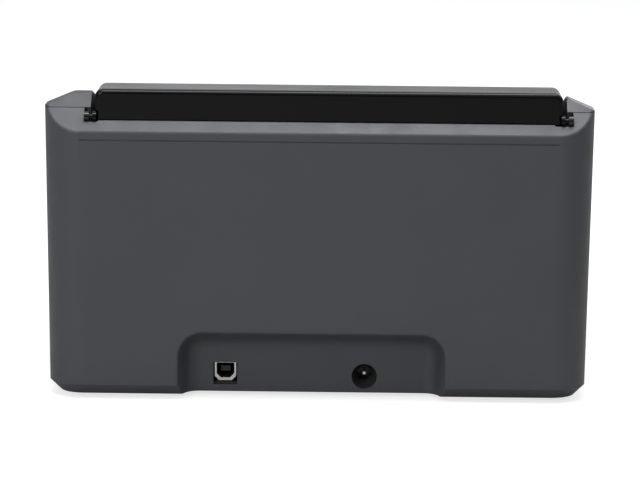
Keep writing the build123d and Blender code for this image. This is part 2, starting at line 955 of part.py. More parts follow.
def base_screws():
    screws = []
    for side in (-1, 1):
        for y in screw_rows:
            head_z = (inner_floor_z + 0.1 - screw_head_height, inner_floor_z + 0.1)
            head = upright(screw_head_radius, side * screw_x, y, head_z)
            shank = upright(
                screw_radius, side * screw_x, y, (inner_floor_z + 0.1, inner_floor_z + screw_length)
            )
            screws.append(head + shank)
    return group(screws)


# Base pan, feet and bezel


def board_posts():
    return [
        (x, y)
        for x in (board_left_x + post_inset, board_right_x - post_inset)
        for y in (board_front_y + post_front, board_rear_y - post_rear)
    ]


def base_pan():
    """The floor of the machine, laid on the casing's bottom lip, with the board's posts."""
    low = inner_floor_z + 0.1
    width = 2 * (half_width_at(inner_floor_z) - pan_inset)
    plan = RectangleRounded(width, body_depth - 2 * pan_inset, rear_corner_radius - pan_inset)
    body = extrude(Plane.XY.offset(low) * plan, pan_thickness, dir=(0, 0, 1))
    half = recess_width / 2 + shell_wall + 1
    above = pan_top_z + 1
    body = body - block(
        (recess_x - half, recess_x + half), (recess_back_y - pan_side_gap, rear_y), (0, above)
    )
    half = jack_hole_radius + funnel_wall + 1
    body = body - block((jack_x - half, jack_x + half), (jack_front_y - 0.5, rear_y), (0, above))
    half = jack_width / 2 + 1
    pocket_y = (jack_front_y - jack_length - 2, rear_y)
    pocket_z = (pan_top_z - socket_pocket, above)
    body = body - block((jack_x - half, jack_x + half), pocket_y, pocket_z)
    for x, y in board_posts():
        body = body + upright(post_radius, x, y, (pan_top_z, board_z))
    for side in (-1, 1):
        for y in screw_rows:
            x = path_x + side * screw_x
            body = body - upright(screw_radius + screw_gap, x, y, (low - 1, low + 5))
    return body


def feet():
    top = inner_floor_z + 0.1
    pads = [
        upright(foot_radius, x, y, (0, top)) for x in (-foot_x, foot_x) for y in (-foot_y, foot_y)
    ]
    return group(pads)


def bezel_ear():
    """The right end of the bezel: it closes the corner and carries the door's pin."""
    x = (door_inner_half + ear_gap, door_half)
    face_y = front_y + bezel_face_setback
    ear = rod(ear_radius, x, door_hinge)
    ear = ear & block(x, (front_y + 0.2, 0), (0, belt_z))
    post = block(x, (face_y, door_hinge[0] + ear_radius), (pan_top_z, door_hinge_z))
    return ear + post - rod(door_pin_radius + running_gap, (x[0] - 1, x[1] + 1), door_hinge)


def front_bezel():
    """The bar between the exit slot and the tray slot, with an ear at each end."""
    face_y = front_y + bezel_face_setback
    half = door_inner_half + ear_gap + 1
    across = (-half, half)
    bar_z = (bezel_bar_low_z, bezel_bar_high_z)
    bar = block(across, (face_y, face_y + bezel_thickness), bar_z)
    shelf_y = (face_y, exit_centre[0] - exit_radius - bezel_shelf_gap)
    shelf = block(across, shelf_y, (bezel_bar_high_z - bezel_shelf_thickness, bezel_bar_high_z))
    return bar + shelf + both(bezel_ear())


# Chute and upper frame


def bend_arc(lift):
    """The round stretch of a line that runs beside the paper line, from chute to feed."""
    radius = bend_radius - lift
    start = polar(bend_centre, radius, chute_slope - 90)
    middle = polar(bend_centre, radius, (chute_slope + feed_slope) / 2 - 90)
    end = polar(bend_centre, radius, feed_slope - 90)
    return ThreePointArc(start, middle, end)


def paper_chute():
    """The lower paper guide, from the hinge down the chute and along to the exit."""
    top = chute_length
    face = make_face(
        Line(chute_at(top, 0), chute_at(0, 0))
        + bend_arc(0)
        + Line(feed_at(0, 0), feed_at(feed_length, 0))
        + Line(feed_at(feed_length, 0), feed_at(feed_length, -guide_plate))
        + Line(feed_at(feed_length, -guide_plate), feed_at(0, -guide_plate))
        + bend_arc(-guide_plate)
        + Line(chute_at(0, -guide_plate), chute_at(top, -guide_plate))
        + Line(chute_at(top, -guide_plate), chute_at(top, 0))
    )
    body = slab(face, (-chute_half_width, chute_half_width))
    for radius, centre in ((pick_radius, pick_centre), (separation_radius, separation_centre)):
        body = body - rod(radius + window_gap, window_x(0, pick_tyre_width), centre)
    for radius, centre in ((feed_radius, feed_centre), (exit_radius, exit_centre)):
        for side in (-1, 1):
            x = window_x(side * long_tyre_x, long_tyre_width)
            body = body - rod(radius + window_gap, x, centre)
    body = body - feed_plane * block(
        (-scan_half_width - window_gap, scan_half_width + window_gap),
        (-rear_scan_at - scan_width / 2 - 0.3, -rear_scan_at + scan_width / 2 + 0.3),
        (-10, 10),
    )
    slot = block(
        (flag_x - flag_width / 2 - flag_side_gap, flag_x + flag_width / 2 + flag_side_gap),
        (flag_up - flag_slot_length / 2, flag_up + flag_slot_length / 2 + 1),
        (-flag_reach, flag_reach),
    )
    return body - chute_plane * slot + flag_bearings()


def window_x(x, width):
    return (x - width / 2 - window_gap, x + width / 2 + window_gap)



def paper_flag():
    """A light lever that stands in the chute until paper pushes it down."""
    pivot = chute_at(flag_up, -flag_depth)
    x = (flag_x - flag_width / 2, flag_x + flag_width / 2)
    tip_lift = flag_reach - flag_depth
    foot = flag_hub_radius - 0.3
    face = outline(
        chute_at(flag_up + foot, -flag_depth),
        chute_at(flag_up - foot, -flag_depth),
        chute_at(flag_up - 0.5, tip_lift),
        chute_at(flag_up + 1, tip_lift),
    )
    reach = flag_ear_gap + flag_ear_width + 1
    hub = rod(flag_hub_radius, x, pivot)
    axle = rod(flag_radius, (x[0] - reach, x[1] + reach), pivot)
    return slab(face, x) + hub + axle


def flag_bearings():
    """Two small ears behind the chute that hold the flag's axle."""
    pivot = chute_at(flag_up, -flag_depth)
    near = flag_width / 2 + flag_ear_gap
    size = flag_ear_radius
    ears = []
    for side in (-1, 1):
        x = sorted((flag_x + side * near, flag_x + side * (near + flag_ear_width)))
        ear = block(x, (flag_up - size, flag_up + size), (-flag_depth - size, -guide_plate))
        bore = rod(flag_radius + running_gap, (x[0] - 1, x[1] + 1), pivot)
        ears.append(chute_plane * ear - bore)
    return ears


def tray_under_z(y):
    """Height of the closed cover's underside at a depth."""
    return tray_rear_z - (cover_rear_y - y) * math.tan(math.radians(tray_lean))


upper_half = frame_x - upper_side_gap - upper_wall
door_radius = distance(door_hinge, (cover_front_y, cover_front_low_z)) - door_top_gap
upper_radius = door_radius + upper_door_gap
upper_top = on_circle(
    (cover_front_y, cover_front_low_z - upper_cover_gap), tray_lean, door_hinge, upper_radius
)
upper_foot = on_circle(feed_at(feed_length, path_gap), feed_slope, door_hinge, upper_radius)


def door_arc(radius, start, end):
    """The arc about the door's hinge between two points."""
    first = math.degrees(math.atan2(start[1] - door_hinge[1], start[0] - door_hinge[0]))
    last = math.degrees(math.atan2(end[1] - door_hinge[1], end[0] - door_hinge[0]))
    return ThreePointArc(start, polar(door_hinge, radius, (first + last) / 2), end)


def upper_frame_face():
    rear_top = (upper_rear_y, tray_under_z(upper_rear_y) - upper_cover_gap)
    throat = chute_at(throat_up, throat_lift)
    neck = chute_at(throat_neck_up, path_gap)
    return make_face(
        Line(upper_top, rear_top)
        + Line(rear_top, throat)
        + Line(throat, neck)
        + Line(neck, chute_at(0, path_gap))
        + bend_arc(path_gap)
        + Line(feed_at(0, path_gap), upper_foot)
        + door_arc(upper_radius, upper_foot, upper_top)
    )


def upper_mouth(gap):
    """The opening through the roof of the upper frame, or the lid in it with a gap all round."""
    line = upper_cover_gap + upper_wall / math.cos(math.radians(tray_lean))
    start = (cover_front_y, cover_front_low_z - line)
    front = on_circle(start, tray_lean, door_hinge, upper_radius + upper_wall + gap)
    rear_y = upper_rear_y - upper_wall - gap
    rear_z = start[1] + (rear_y - start[0]) * math.tan(math.radians(tray_lean))
    face = outline(
        front, (rear_y, rear_z), (rear_y, rear_z + mouth_height), (front[0], front[1] + mouth_height)
    )
    half = upper_half - upper_wall - gap
    return slab(face, (-half, half))


def upper_housing():
    """The fixed housing between the paper path, the cover and the door, without its ends."""
    face = upper_frame_face()
    inner = offset(face, -upper_wall, kind=Kind.INTERSECTION)
    body = slab(face, (-upper_half, upper_half)) - slab(inner, (-frame_x, frame_x))
    body = body - upper_mouth(0)
    body = body - rod(brake_radius + window_gap, window_x(0, pick_tyre_width), brake_centre)
    flag_groove = block(
        (flag_x - flag_width, flag_x + flag_width),
        (flag_up - flag_slot_length / 2, flag_up + flag_slot_length / 2),
        (0, path_gap + flag_groove_depth),
    )
    body = body - chute_plane * flag_groove
    for side in (-1, 1):
        inner_x = pick_tyre_width / 2 + rib_gap + window_gap
        x = sorted((side * inner_x, side * (inner_x + rib_thickness)))
        rib = chute_plane * block(
            x, (separation_at - 6, separation_at + 6), (path_gap + 0.5, path_gap + 16)
        )
        body = body + rib
    reach = pick_tyre_width
    return body - rod(pinch_shaft_radius + running_gap, (-reach, reach), brake_centre)


def upper_frame():
    """The housing with the two end plates that close it."""
    end = slab(upper_frame_face(), (upper_half, upper_half + upper_wall))
    return group([upper_housing(), end, mirror(end, Plane.YZ)])


def upper_lid():
    """The lid in the roof of the upper frame."""
    return upper_mouth(lid_gap) & slab(upper_frame_face(), (-frame_x, frame_x))


def brake_roller():
    """The idle roller that holds back all sheets but the first."""
    reach = pick_tyre_width / 2 + rib_gap + window_gap + rib_thickness
    body = rod(pinch_shaft_radius, (-reach, reach), brake_centre)
    return body + rod(brake_radius, (-pick_tyre_width / 2, pick_tyre_width / 2), brake_centre)


# Scanning units


def scan_unit(along, low, high):
    return feed_plane * block(
        (-scan_half_width, scan_half_width),
        (-along - scan_width / 2, -along + scan_width / 2),
        (low, high),
    )


def rear_scan_unit():
    top = -glass_set - glass_thickness
    return scan_unit(rear_scan_at, top - scan_depth, top)


def rear_glass():
    return scan_unit(rear_scan_at, -glass_set - glass_thickness, -glass_set)


def front_scan_unit():
    low = path_gap + glass_set + glass_thickness
    return scan_unit(front_scan_at, low, low + scan_depth)


def front_glass():
    low = path_gap + glass_set
    return scan_unit(front_scan_at, low, low + glass_thickness)


# Front door

door_top = on_circle((front_y, front_break_z), slant, door_hinge, door_radius)
door_foot_front = (front_y, door_hinge_z + 1)
door_foot_low = polar(door_hinge, door_foot_radius, -104)
door_foot_back = feed_at(feed_length - 9, path_gap)


def inward(point):
    """A point of the sloping face moved in by the panel's wall."""
    return polar(point, door_panel_wall, slant - 90)


def panel_corner():
    """Where the inside of the sloping face meets the inside of the upright face."""
    start = inward((front_y, front_break_z))
    step = front_y + door_panel_wall - start[0]
    return (front_y + door_panel_wall, start[1] + step * math.tan(math.radians(slant)))


def door_panel():
    """The outer skin of the door, with holes for the buttons and lights."""
    face = outline(
        door_foot_front,
        (front_y, front_break_z),
        door_top,
        inward(door_top),
        panel_corner(),
        (front_y + door_panel_wall, door_foot_front[1]),
    )
    body = slab(face, (-door_half, door_half))
    for radius, x in button_places():
        body = body - panel_rod(radius + button_gap, x, button_row, (-door_panel_wall - 1, 1))
    for x in light_xs:
        body = body - panel_rod(light_radius, x, light_row, (-door_panel_wall - 1, 1))
    corner_x = (door_inner_half + ear_gap / 2, door_half + 1)
    return body - both(rod(ear_radius + ear_clearance, corner_x, door_hinge))


def door_inner_face():
    return make_face(
        Line((front_y + door_panel_wall, door_foot_front[1]), panel_corner())
        + Line(panel_corner(), inward(door_top))
        + door_arc(distance(door_hinge, inward(door_top)), inward(door_top), door_back_low())
        + Line(door_back_low(), door_foot_back)
        + Line(door_foot_back, door_foot_low)
        + Line(door_foot_low, (front_y + door_panel_wall, door_foot_front[1]))
    )


def door_back_low():
    """The rear lower corner of the door's inside, on the arc of its upper rear corner."""
    radius = distance(door_hinge, inward(door_top))
    return on_circle(feed_at(feed_length, path_gap), feed_slope, door_hinge, radius)


def door_inner():
    """The tub behind the door's skin, with its paper guide, ribs and knuckles."""
    face = door_inner_face()
    body = slab(face, (-door_inner_half, door_inner_half))
    reach = door_inner_half - door_inner_wall
    hollow = slab(offset(face, -door_inner_wall, kind=Kind.INTERSECTION), (-reach, reach))
    step = polar((0, 0), door_inner_wall + 2, slant + 90)
    body = body - hollow - Pos(0, step[0], step[1]) * hollow
    for side in (-1, 1):
        x = sorted((side * door_inner_half, side * (door_inner_half - door_knuckle_width)))
        body = body + rod(door_knuckle_radius, x, door_hinge)
    body = body - feed_plane * block(
        (-scan_half_width - 0.3, scan_half_width + 0.3),
        (-front_scan_at - scan_width / 2 - 0.3, -front_scan_at + scan_width / 2 + 0.3),
        (-10, path_gap + 5),
    )
    for along, radius, centre in pinch_places():
        for side in (-1, 1):
            x = window_x(side * long_tyre_x, long_tyre_width)
            body = body - rod(radius + window_gap, x, centre)
            inner = long_tyre_x + long_tyre_width / 2 + rib_gap
            rib_x = sorted((side * inner, side * (inner + rib_thickness)))
            rib = feed_plane * block(
                rib_x, (-along - 4.5, -along + 4.5), (path_gap + 0.5, path_gap + radius + 4)
            )
            body = body + rib
        body = body - rod(pinch_shaft_radius + running_gap, (-reach, reach), centre)
    return body + both(door_pin())


def pinch_places():
    return (
        (feed_at_distance, feed_pinch_radius, feed_pinch_centre),
        (exit_at_distance, exit_pinch_radius, exit_pinch_centre),
    )


def door_pin():
    """The right hinge pin, moulded on the door's knuckle."""
    return rod(door_pin_radius, (door_inner_half - 1, door_half - 0.4), door_hinge)


# Buttons


def button_places():
    return [(power_radius, power_x)] + [(small_button_radius, x) for x in small_button_xs]


def button(radius, x):
    cap = panel_rod(radius, x, button_row, (button_low, button_rise))
    flange_radius = radius + button_flange_reach
    return cap + panel_rod(flange_radius, x, button_row, (button_low, button_low + button_flange))


def status_lights():
    return group(
        [panel_rod(light_radius, x, light_row, (-door_panel_wall, 0.2)) for x in light_xs]
    )


def switch_board():
    """The small board behind the buttons, with one switch under each."""
    top = button_low - button_travel - switch_gap
    low = top - switch_height
    across = (min(small_button_xs) - 10, power_x + 10)
    plate = block(across, (button_row - 9, light_row + 5), (low, low + board_thickness))
    half = switch_size / 2
    for _, x in button_places():
        plate = plate + block(
            (x - half, x + half), (button_row - half, button_row + half), (low, top)
        )
    return panel_plane * plate


# Folding cover


def cover_outline():
    return outline(
        (cover_rear_y, tray_rear_z),
        (cover_rear_y, cover_top_z),
        (cover_rear_y - cover_flat, cover_top_z),
        (cover_front_y, cover_front_top_z),
        (cover_front_y, cover_front_low_z),
    )


def cover_block():
    """The cover's outer form, a little narrower at the top, with soft top edges."""
    face = cover_outline()
    body = slab(face, (-cover_half, cover_half))
    top_half = cover_half - cover_side_lean
    sides = outline(
        (-cover_half, cover_front_low_z),
        (cover_half, cover_front_low_z),
        (top_half, cover_top_z),
        (-top_half, cover_top_z),
    )
    body = body & extrude(Plane.XZ.offset(-cover_rear_y) * sides, body_depth, dir=(0, -1, 0))
    slope_top = (cover_rear_y - cover_flat + cover_front_y) / 2
    top_faces = body.faces().filter_by(
        lambda face: face.normal_at().Z > 0.5 and face.center().Y > slope_top - 1
    )
    along_sides = ShapeList(
        edge for face in top_faces for edge in face.edges() if abs(edge.center().X) > top_half / 2
    )
    body = fillet(along_sides, cover_side_radius)
    rear_face = body.faces().sort_by(Axis.Y)[-1]
    around_top = rear_face.edges().filter_by(
        lambda edge: edge.center().Z > cover_top_z - cover_side_radius
    )
    return fillet(around_top, cover_edge_radius)


def cover_skin():
    body = cover_block()
    hollow_half = cover_half - cover_skin_wall - cover_side_lean
    inner = offset(cover_outline(), -cover_skin_wall, kind=Kind.INTERSECTION)
    hollow = slab(inner, (-hollow_half, hollow_half))
    below = tray_plane * block(
        (-hollow_half, hollow_half),
        (cover_front_y - cover_rear_y + 1.4, -cover_skin_wall),
        (-1, cover_skin_wall + 1.2),
    )
    body = body - hollow - below
    slot_half = extension_half_width + slide_gap
    slot = tray_plane * block(
        (-slot_half, slot_half),
        (-body_depth, -extension_start),
        (extension_low - slide_gap, extension_low + extension_thickness + slide_gap),
    )
    body = body - slot
    grip = extension_grip_width / 2 + slide_gap
    body = body - tray_plane * block(
        (-grip, grip),
        (-body_depth, cover_front_y - cover_rear_y + 6),
        (extension_low, extension_low + extension_thickness + extension_grip_height + slide_gap),
    )
    ear_z = (hinge_z - cover_ear_radius, hinge_z + cover_ear_radius)
    for side in (-1, 1):
        x = sorted((side * (cover_half - cover_ear_width), side * cover_half))
        ear = rod(cover_ear_radius, x, (hinge_y, hinge_z))
        neck = block(x, (cover_rear_y - 1, hinge_y), ear_z)
        body = body + ear + neck
    return body + both(cover_pin()) + pull_tab()


def cover_liner():
    """The tray's paper side, closing the cover from below, with slots for the guides."""
    half = cover_half - cover_skin_wall - cover_side_lean - liner_side_gap
    front = cover_front_y - cover_rear_y + 3.4
    body = tray_plane * block((-half, half), (front, -cover_skin_wall - 0.2), (0, liner_thickness))
    outer = guide_rest_x + guide_neck / 2 + guide_neck_gap
    inner = guide_rest_x - guide_travel - guide_neck / 2 - guide_neck_gap
    middle = -guide_start - guide_length / 2
    for side in (-1, 1):
        y = middle + side * rack_offset()
        x = sorted((side * inner, side * outer))
        half_slot = guide_neck / 2 + guide_neck_gap
        slot = block(x, (y - half_slot, y + half_slot), (-5, 5))
        body = body - tray_plane * slot
    return body + pinion_post()


def rack_offset():
    """From the guide pinion's centre to the middle of each rack's back."""
    return guide_module * guide_teeth / 2 + guide_module * 1.15 + rack_back / 2


def side_guide(side):
    """A paper guide with its neck and rack. Side is 1 for the right one."""
    middle = -guide_start - guide_length / 2
    wall_x = side * guide_rest_x
    wall = block(
        (wall_x - guide_wall / 2, wall_x + guide_wall / 2),
        (-guide_start - guide_length, -guide_start),
        (-guide_height - guide_foot_gap, -guide_foot_gap),
    )
    y = middle + side * rack_offset()
    neck = block(
        (wall_x - guide_neck / 2, wall_x + guide_neck / 2),
        (y - guide_neck / 2, y + guide_neck / 2),
        (-guide_foot_gap - 0.5, liner_thickness + rack_lift + 0.5),
    )
    low = liner_thickness + rack_lift
    start = -rack_overrun
    bar_x = sorted((side * start, side * (guide_rest_x + guide_neck / 2)))
    bar_y = (y - rack_back / 2, y + rack_back / 2)
    bar = block(bar_x, bar_y, (low, low + rack_thickness))
    body = wall + neck + bar + rack_teeth(side, middle, low)
    return tray_plane * body


def rack_teeth(side, middle, low):
    """Teeth along a rack, placed to mesh with the pinion at rest."""
    pitch = math.pi * guide_module
    line = middle + side * guide_module * guide_teeth / 2
    half_pitch_width = pitch / 4 - rack_backlash / 4
    slope = math.tan(math.radians(20))
    tip = 0.85 * guide_module
    root = 1.15 * guide_module + 0.2
    count = int((guide_travel + 2 * rack_overrun) / pitch)
    teeth = []
    for number in range(count):
        x = side * ((number + 0.5) * pitch - rack_overrun + rack_phase())
        face = outline(
            (x - half_pitch_width - root * slope, line + side * root),
            (x - half_pitch_width + tip * slope, line - side * tip),
            (x + half_pitch_width - tip * slope, line - side * tip),
            (x + half_pitch_width + root * slope, line + side * root),
        )
        teeth.append(extrude(Plane.XY.offset(low) * face, rack_thickness, dir=(0, 0, 1)))
    return teeth


def rack_phase():
    """Shift that sets a rack tooth in the middle of the pinion's gap at the centre line."""
    pitch = math.pi * guide_module
    return (rack_overrun - 0.5 * pitch) % pitch


def guide_pinion():
    """The small gear between the racks, with a gap facing each of them."""
    middle = -guide_start - guide_length / 2
    phase = 90 + 180 / guide_teeth
    face = gear_face(guide_teeth, phase, guide_module) - Circle(pinion_post_radius + running_gap)
    low = liner_thickness + rack_lift
    body = extrude(Plane.XY.offset(low) * face, rack_thickness, dir=(0, 0, 1))
    return tray_plane * (Pos(0, middle, 0) * body)


def pinion_post():
    """The post on the liner that the guide pinion turns on, with a retaining head."""
    middle = -guide_start - guide_length / 2
    top = liner_thickness + rack_lift + rack_thickness + 0.3
    post = Cylinder(pinion_post_radius, top, align=(Align.CENTER, Align.CENTER, Align.MIN))
    head = Cylinder(pinion_post_radius + 1.5, 1.2, align=(Align.CENTER, Align.CENTER, Align.MIN))
    return tray_plane * (Pos(0, middle, 0) * (post + Pos(0, 0, top) * head))


def tray_extension():
    """The flat extension in the cover, with a thicker grip along its front edge."""
    front = cover_front_y - cover_rear_y + 0.6
    top = extension_low + extension_thickness
    plate = block(
        (-extension_half_width, extension_half_width),
        (front, -extension_start),
        (extension_low, top),
    )
    grip = block(
        (-extension_grip_width / 2, extension_grip_width / 2),
        (front, front + 4.5),
        (extension_low, top + extension_grip_height),
    )
    return tray_plane * (plate + grip)


def cover_pin():
    """The right hinge pin, moulded on the cover's ear."""
    inner = cover_half - cover_ear_width
    return rod(cover_pin_radius, (inner, cheek_x + notch_outer - bracket_gap), (hinge_y, hinge_z))


def hinge_bracket():
    """The right knuckle in the notch, with an arm fixed on the cheek's inner wall."""
    end = cheek_x + notch_outer - bracket_gap
    centre = (hinge_y, hinge_z)
    knuckle = rod(bracket_radius, (end - bracket_width, end), centre)
    arm_top = hinge_z - bracket_arm_drop
    arm_near = hinge_y - bracket_arm_near
    joined = arm_top - bracket_neck_drop / 2
    neck = outline(
        (hinge_y - bracket_radius, hinge_z),
        (hinge_y + bracket_radius / 4, hinge_z),
        (hinge_y - bracket_radius, hinge_z - bracket_neck_drop),
        (arm_near, joined),
        (arm_near - bracket_arm_near, joined),
    )
    inner_x = cheek_x + cheek_wall
    arm = block(
        (inner_x, inner_x + bracket_arm_width),
        (arm_near - bracket_arm_depth, arm_near),
        (arm_top - bracket_arm_height, arm_top),
    )
    body = knuckle + slab(neck, (inner_x + 0.2, end)) + arm
    return body - rod(cover_pin_radius + running_gap, (end - bracket_width - 1, end + 1), centre)


def pull_tab():
    """The little shelf on the cover's front edge to lift it by."""
    half = pull_tab_width / 2
    z = (pull_tab_z, pull_tab_z + pull_tab_thickness)
    return block((-half, half), (cover_front_y - pull_tab_reach, cover_front_y), z)


# Output tray


def output_tray():
    """The sliding tray under the exit, with a pocket for its extension."""
    front = front_y + bezel_face_setback
    top = tray_low_z + tray_thickness
    body = block((-tray_half_width, tray_half_width), (front, tray_back_y), (tray_low_z, top))
    gap = slide_gap
    pocket = block(
        (-inner_tray_half_width - gap, inner_tray_half_width + gap),
        (front - 1, inner_tray_back_y + gap),
        (inner_tray_low_z() - gap, inner_tray_low_z() + inner_tray_thickness + gap),
    )
    mouth = block(
        (-inner_tray_half_width - gap, inner_tray_half_width + gap),
        (front - 1, front + 4),
        (0, top + 1),
    )
    return body - pocket - mouth


def inner_tray_low_z():
    return tray_low_z + (tray_thickness - inner_tray_thickness) / 2


def stop_pivot():
    return (front_y + stop_thickness / 2 + 0.2, tray_low_z + tray_thickness - 1.2)


def output_extension():
    """The flat inner slide of the output tray, with lugs for the stop at its front."""
    front = front_y + bezel_face_setback
    low = inner_tray_low_z()
    body = block(
        (-inner_tray_half_width, inner_tray_half_width),
        (front + 0.4, inner_tray_back_y),
        (low, low + inner_tray_thickness),
    )
    top = tray_low_z + tray_thickness
    across = (-inner_tray_half_width, inner_tray_half_width)
    body = body + block(across, (front + 0.4, front + 3.4), (tray_low_z, top))
    pivot = stop_pivot()
    for side in (-1, 1):
        start = stop_width / 2 + 0.4
        x = sorted((side * start, side * (start + 3)))
        lug = rod(1.9, x, pivot) & block(x, (front_y, 0), (0, belt_z))
        lug = lug + block(x, (pivot[0], front + 1), (pivot[1] - 1.9, pivot[1] + 1.2))
        body = body + lug - rod(stop_pin_radius + running_gap, (x[0] - 1, x[1] + 1), pivot)
    return body


def paper_stop():
    """The flap on the tray's front edge that swings up to stop the sheets."""
    pivot = stop_pivot()
    half = stop_thickness / 2
    leaf = block(
        (-stop_width / 2, stop_width / 2),
        (pivot[0] - half, pivot[0] + half),
        (pivot[1] - stop_height, pivot[1]),
    )
    barrel = rod(half, (-stop_width / 2, stop_width / 2), pivot)
    pin_reach = stop_width / 2 + 3
    return leaf + barrel + rod(stop_pin_radius, (-pin_reach, pin_reach), pivot)


# Board, ports and what is on the board


def board_chip(place):
    """A chip on the main board: its middle from the board's middle and front, then its size."""
    x, y, width, depth, height = place
    middle = (board_left_x + board_right_x) / 2 + x
    front = board_front_y + y
    top = board_z + board_thickness
    chip_x = (middle - width / 2, middle + width / 2)
    return block(chip_x, (front - depth / 2, front + depth / 2), (top, top + height))


def heat_sink():
    """The finned cooler on the board's right side."""
    low = board_z + board_thickness
    right = board_right_x - sink_inset
    sink_y = (board_front_y + sink_front, board_front_y + sink_front + sink_size)
    body = block((right - sink_size, right), sink_y, (low, low + sink_base))
    pitch = (sink_size - fin_thickness) / (fin_count - 1)
    for number in range(fin_count):
        x = right - sink_size + number * pitch
        body = body + block((x, x + fin_thickness), sink_y, (low, low + sink_height))
    return body


def main_board():
    """The main board with its chips, capacitors and heat sink on top."""
    low = board_z + board_thickness
    board = block((board_left_x, board_right_x), (board_front_y, board_rear_y), (board_z, low))
    chips = [board_chip(place) for place in board_chips]
    cans = [
        upright(
            can_radius,
            board_left_x + can_inset + can_pitch * number,
            board_front_y + can_front,
            (low, low + can_height),
        )
        for number in range(can_count)
    ]
    return board + chips + cans + heat_sink()


def usb_block(width, height, z, y):
    """A box on the square socket's line, with its width, height, middle height and depths."""
    return block((usb_x - width / 2, usb_x + width / 2), y, (z - height / 2, z + height / 2))


def usb_low_edges(body):
    return body.edges().filter_by(Axis.Y).filter_by(lambda edge: edge.center().Z < usb_z)


def usb_socket():
    """The square metal socket under the board, upside down, with its narrow side below."""
    back = usb_mouth_y - usb_length
    body = usb_block(usb_shell_width, usb_shell_height, usb_z, (back, usb_mouth_y))
    body = chamfer(usb_low_edges(body), usb_mouth_chamfer)
    hollow_y = (back + 1, usb_mouth_y + 1)
    opening = usb_block(usb_mouth_width, usb_mouth_height, usb_mouth_z, hollow_y)
    return body - chamfer(usb_low_edges(opening), usb_mouth_chamfer)


def usb_tongue():
    tongue_y = (usb_mouth_y - usb_length + 1, usb_mouth_y - tongue_setback)
    return usb_block(tongue_width, tongue_height, usb_mouth_z, tongue_y)


def jack_funnel(grow):
    """The cone from the casing's round hole down to the jack's bore, or its outside."""
    length = recess_back_y - funnel_gap - jack_front_y
    alignment = (Align.CENTER, Align.CENTER, Align.MIN)
    cone = Cone(jack_bore_radius + grow, jack_hole_radius + grow, length, align=alignment)
    return Pos(jack_x, jack_front_y, jack_z) * Rot(-90, 0, 0) * cone


def power_jack():
    """The round power socket under the board, with its funnel."""
    half = jack_width / 2
    back = jack_front_y - jack_length
    body = block((jack_x - half, jack_x + half), (back, jack_front_y), (jack_z - half, board_z))
    body = body + jack_funnel(funnel_wall) - jack_funnel(0)
    bore_y = (jack_front_y - jack_bore_depth, jack_front_y + 1)
    return body - lengthwise(jack_bore_radius, jack_x, jack_z, bore_y)


def jack_pin():
    pin_y = (jack_front_y - jack_bore_depth, jack_front_y - jack_pin_setback)
    return lengthwise(jack_pin_radius, jack_x, jack_z, pin_y)


# What belongs to the casing and the ports stands about the machine's middle.
casing_pieces = {
    "rear_shell": rear_shell(),
    "right_cheek": right_cheek(),
    "left_cheek": left_cheek(),
    "base_pan": base_pan(),
    "rubber_feet": feet(),
    "main_board": main_board(),
    "usb_socket": usb_socket(),
    "usb_tongue": usb_tongue(),
    "power_jack": power_jack(),
    "power_jack_pin": jack_pin(),
}

# The rest is drawn about the middle of the paper path, which lies a little to the left.
path_pieces = {
    "base_screws": base_screws(),
    "front_bezel": front_bezel(),
    "right_side_frame": side_frame(1),
    "left_side_frame": side_frame(-1),
    "shaft_bushes": bushes(),
    "paper_chute": paper_chute(),
    "upper_frame": upper_frame(),
    "upper_frame_lid": upper_lid(),
    "rear_scan_unit": rear_scan_unit(),
    "rear_scan_glass": rear_glass(),
    "motor_can": motor_can(),
    "hinge_brackets": group([hinge_bracket(), mirror(hinge_bracket(), Plane.YZ)]),
    "cover_skin": cover_skin(),
    "cover_liner": cover_liner(),
    "guide_pinion": guide_pinion(),
    "right_side_guide": side_guide(1),
    "left_side_guide": side_guide(-1),
    "tray_extension": tray_extension(),
    "pick_shaft": drive_shaft(pick_centre),
    "pick_tyre": tyre(pick_radius, 0, pick_tyre_width, pick_centre, shaft_radius),
    "pick_gear": gear(pick_teeth, pick_phase, pick_centre, shaft_radius),
    "separation_shaft": drive_shaft(separation_centre),
    "separation_tyre": tyre(separation_radius, 0, pick_tyre_width, separation_centre, shaft_radius),
    "separation_gear": gear(separation_teeth, separation_phase, separation_centre, shaft_radius),
    "feed_shaft": drive_shaft(feed_centre),
    "feed_tyres": tyre_pair(feed_radius, feed_centre, shaft_radius),
    "feed_gear": gear(feed_teeth, feed_phase, feed_centre, shaft_radius),
    "exit_shaft": drive_shaft(exit_centre),
    "exit_tyres": tyre_pair(exit_radius, exit_centre, shaft_radius),
    "exit_gear": gear(exit_teeth, exit_phase, exit_centre, shaft_radius),
    "motor_pinion": motor_pinion(),
    "climb_gear": gear(climb_teeth, climb_phase, climb_centre, stub_radius + running_gap),
    "link_gear": gear(link_teeth, link_phase, link_centre, stub_radius + running_gap),
    "long_gear": gear(long_teeth, long_phase, long_centre, stub_radius + running_gap),
    "brake_roller": brake_roller(),
    "paper_flag": paper_flag(),
    "door_panel": door_panel(),
    "door_inner": door_inner(),
    "front_scan_unit": front_scan_unit(),
    "front_scan_glass": front_glass(),
    "feed_pinch_roller": pinch_roller(feed_pinch_radius, feed_pinch_centre),
    "exit_pinch_roller": pinch_roller(exit_pinch_radius, exit_pinch_centre),
    "switch_board": switch_board(),
    "status_lights": status_lights(),
    "power_button": button(power_radius, power_x),
    "scan_button": button(small_button_radius, small_button_xs[1]),
    "eject_button": button(small_button_radius, small_button_xs[0]),
    "output_tray": output_tray(),
    "output_extension": output_extension(),
    "paper_stop": paper_stop(),
}



def on_path(shape):
    """A piece moved, solid by solid, to the middle of the paper path."""
    solids = [Pos(path_x, 0, 0) * solid for solid in shape.solids()]
    return solids[0] if len(solids) == 1 else group(solids)


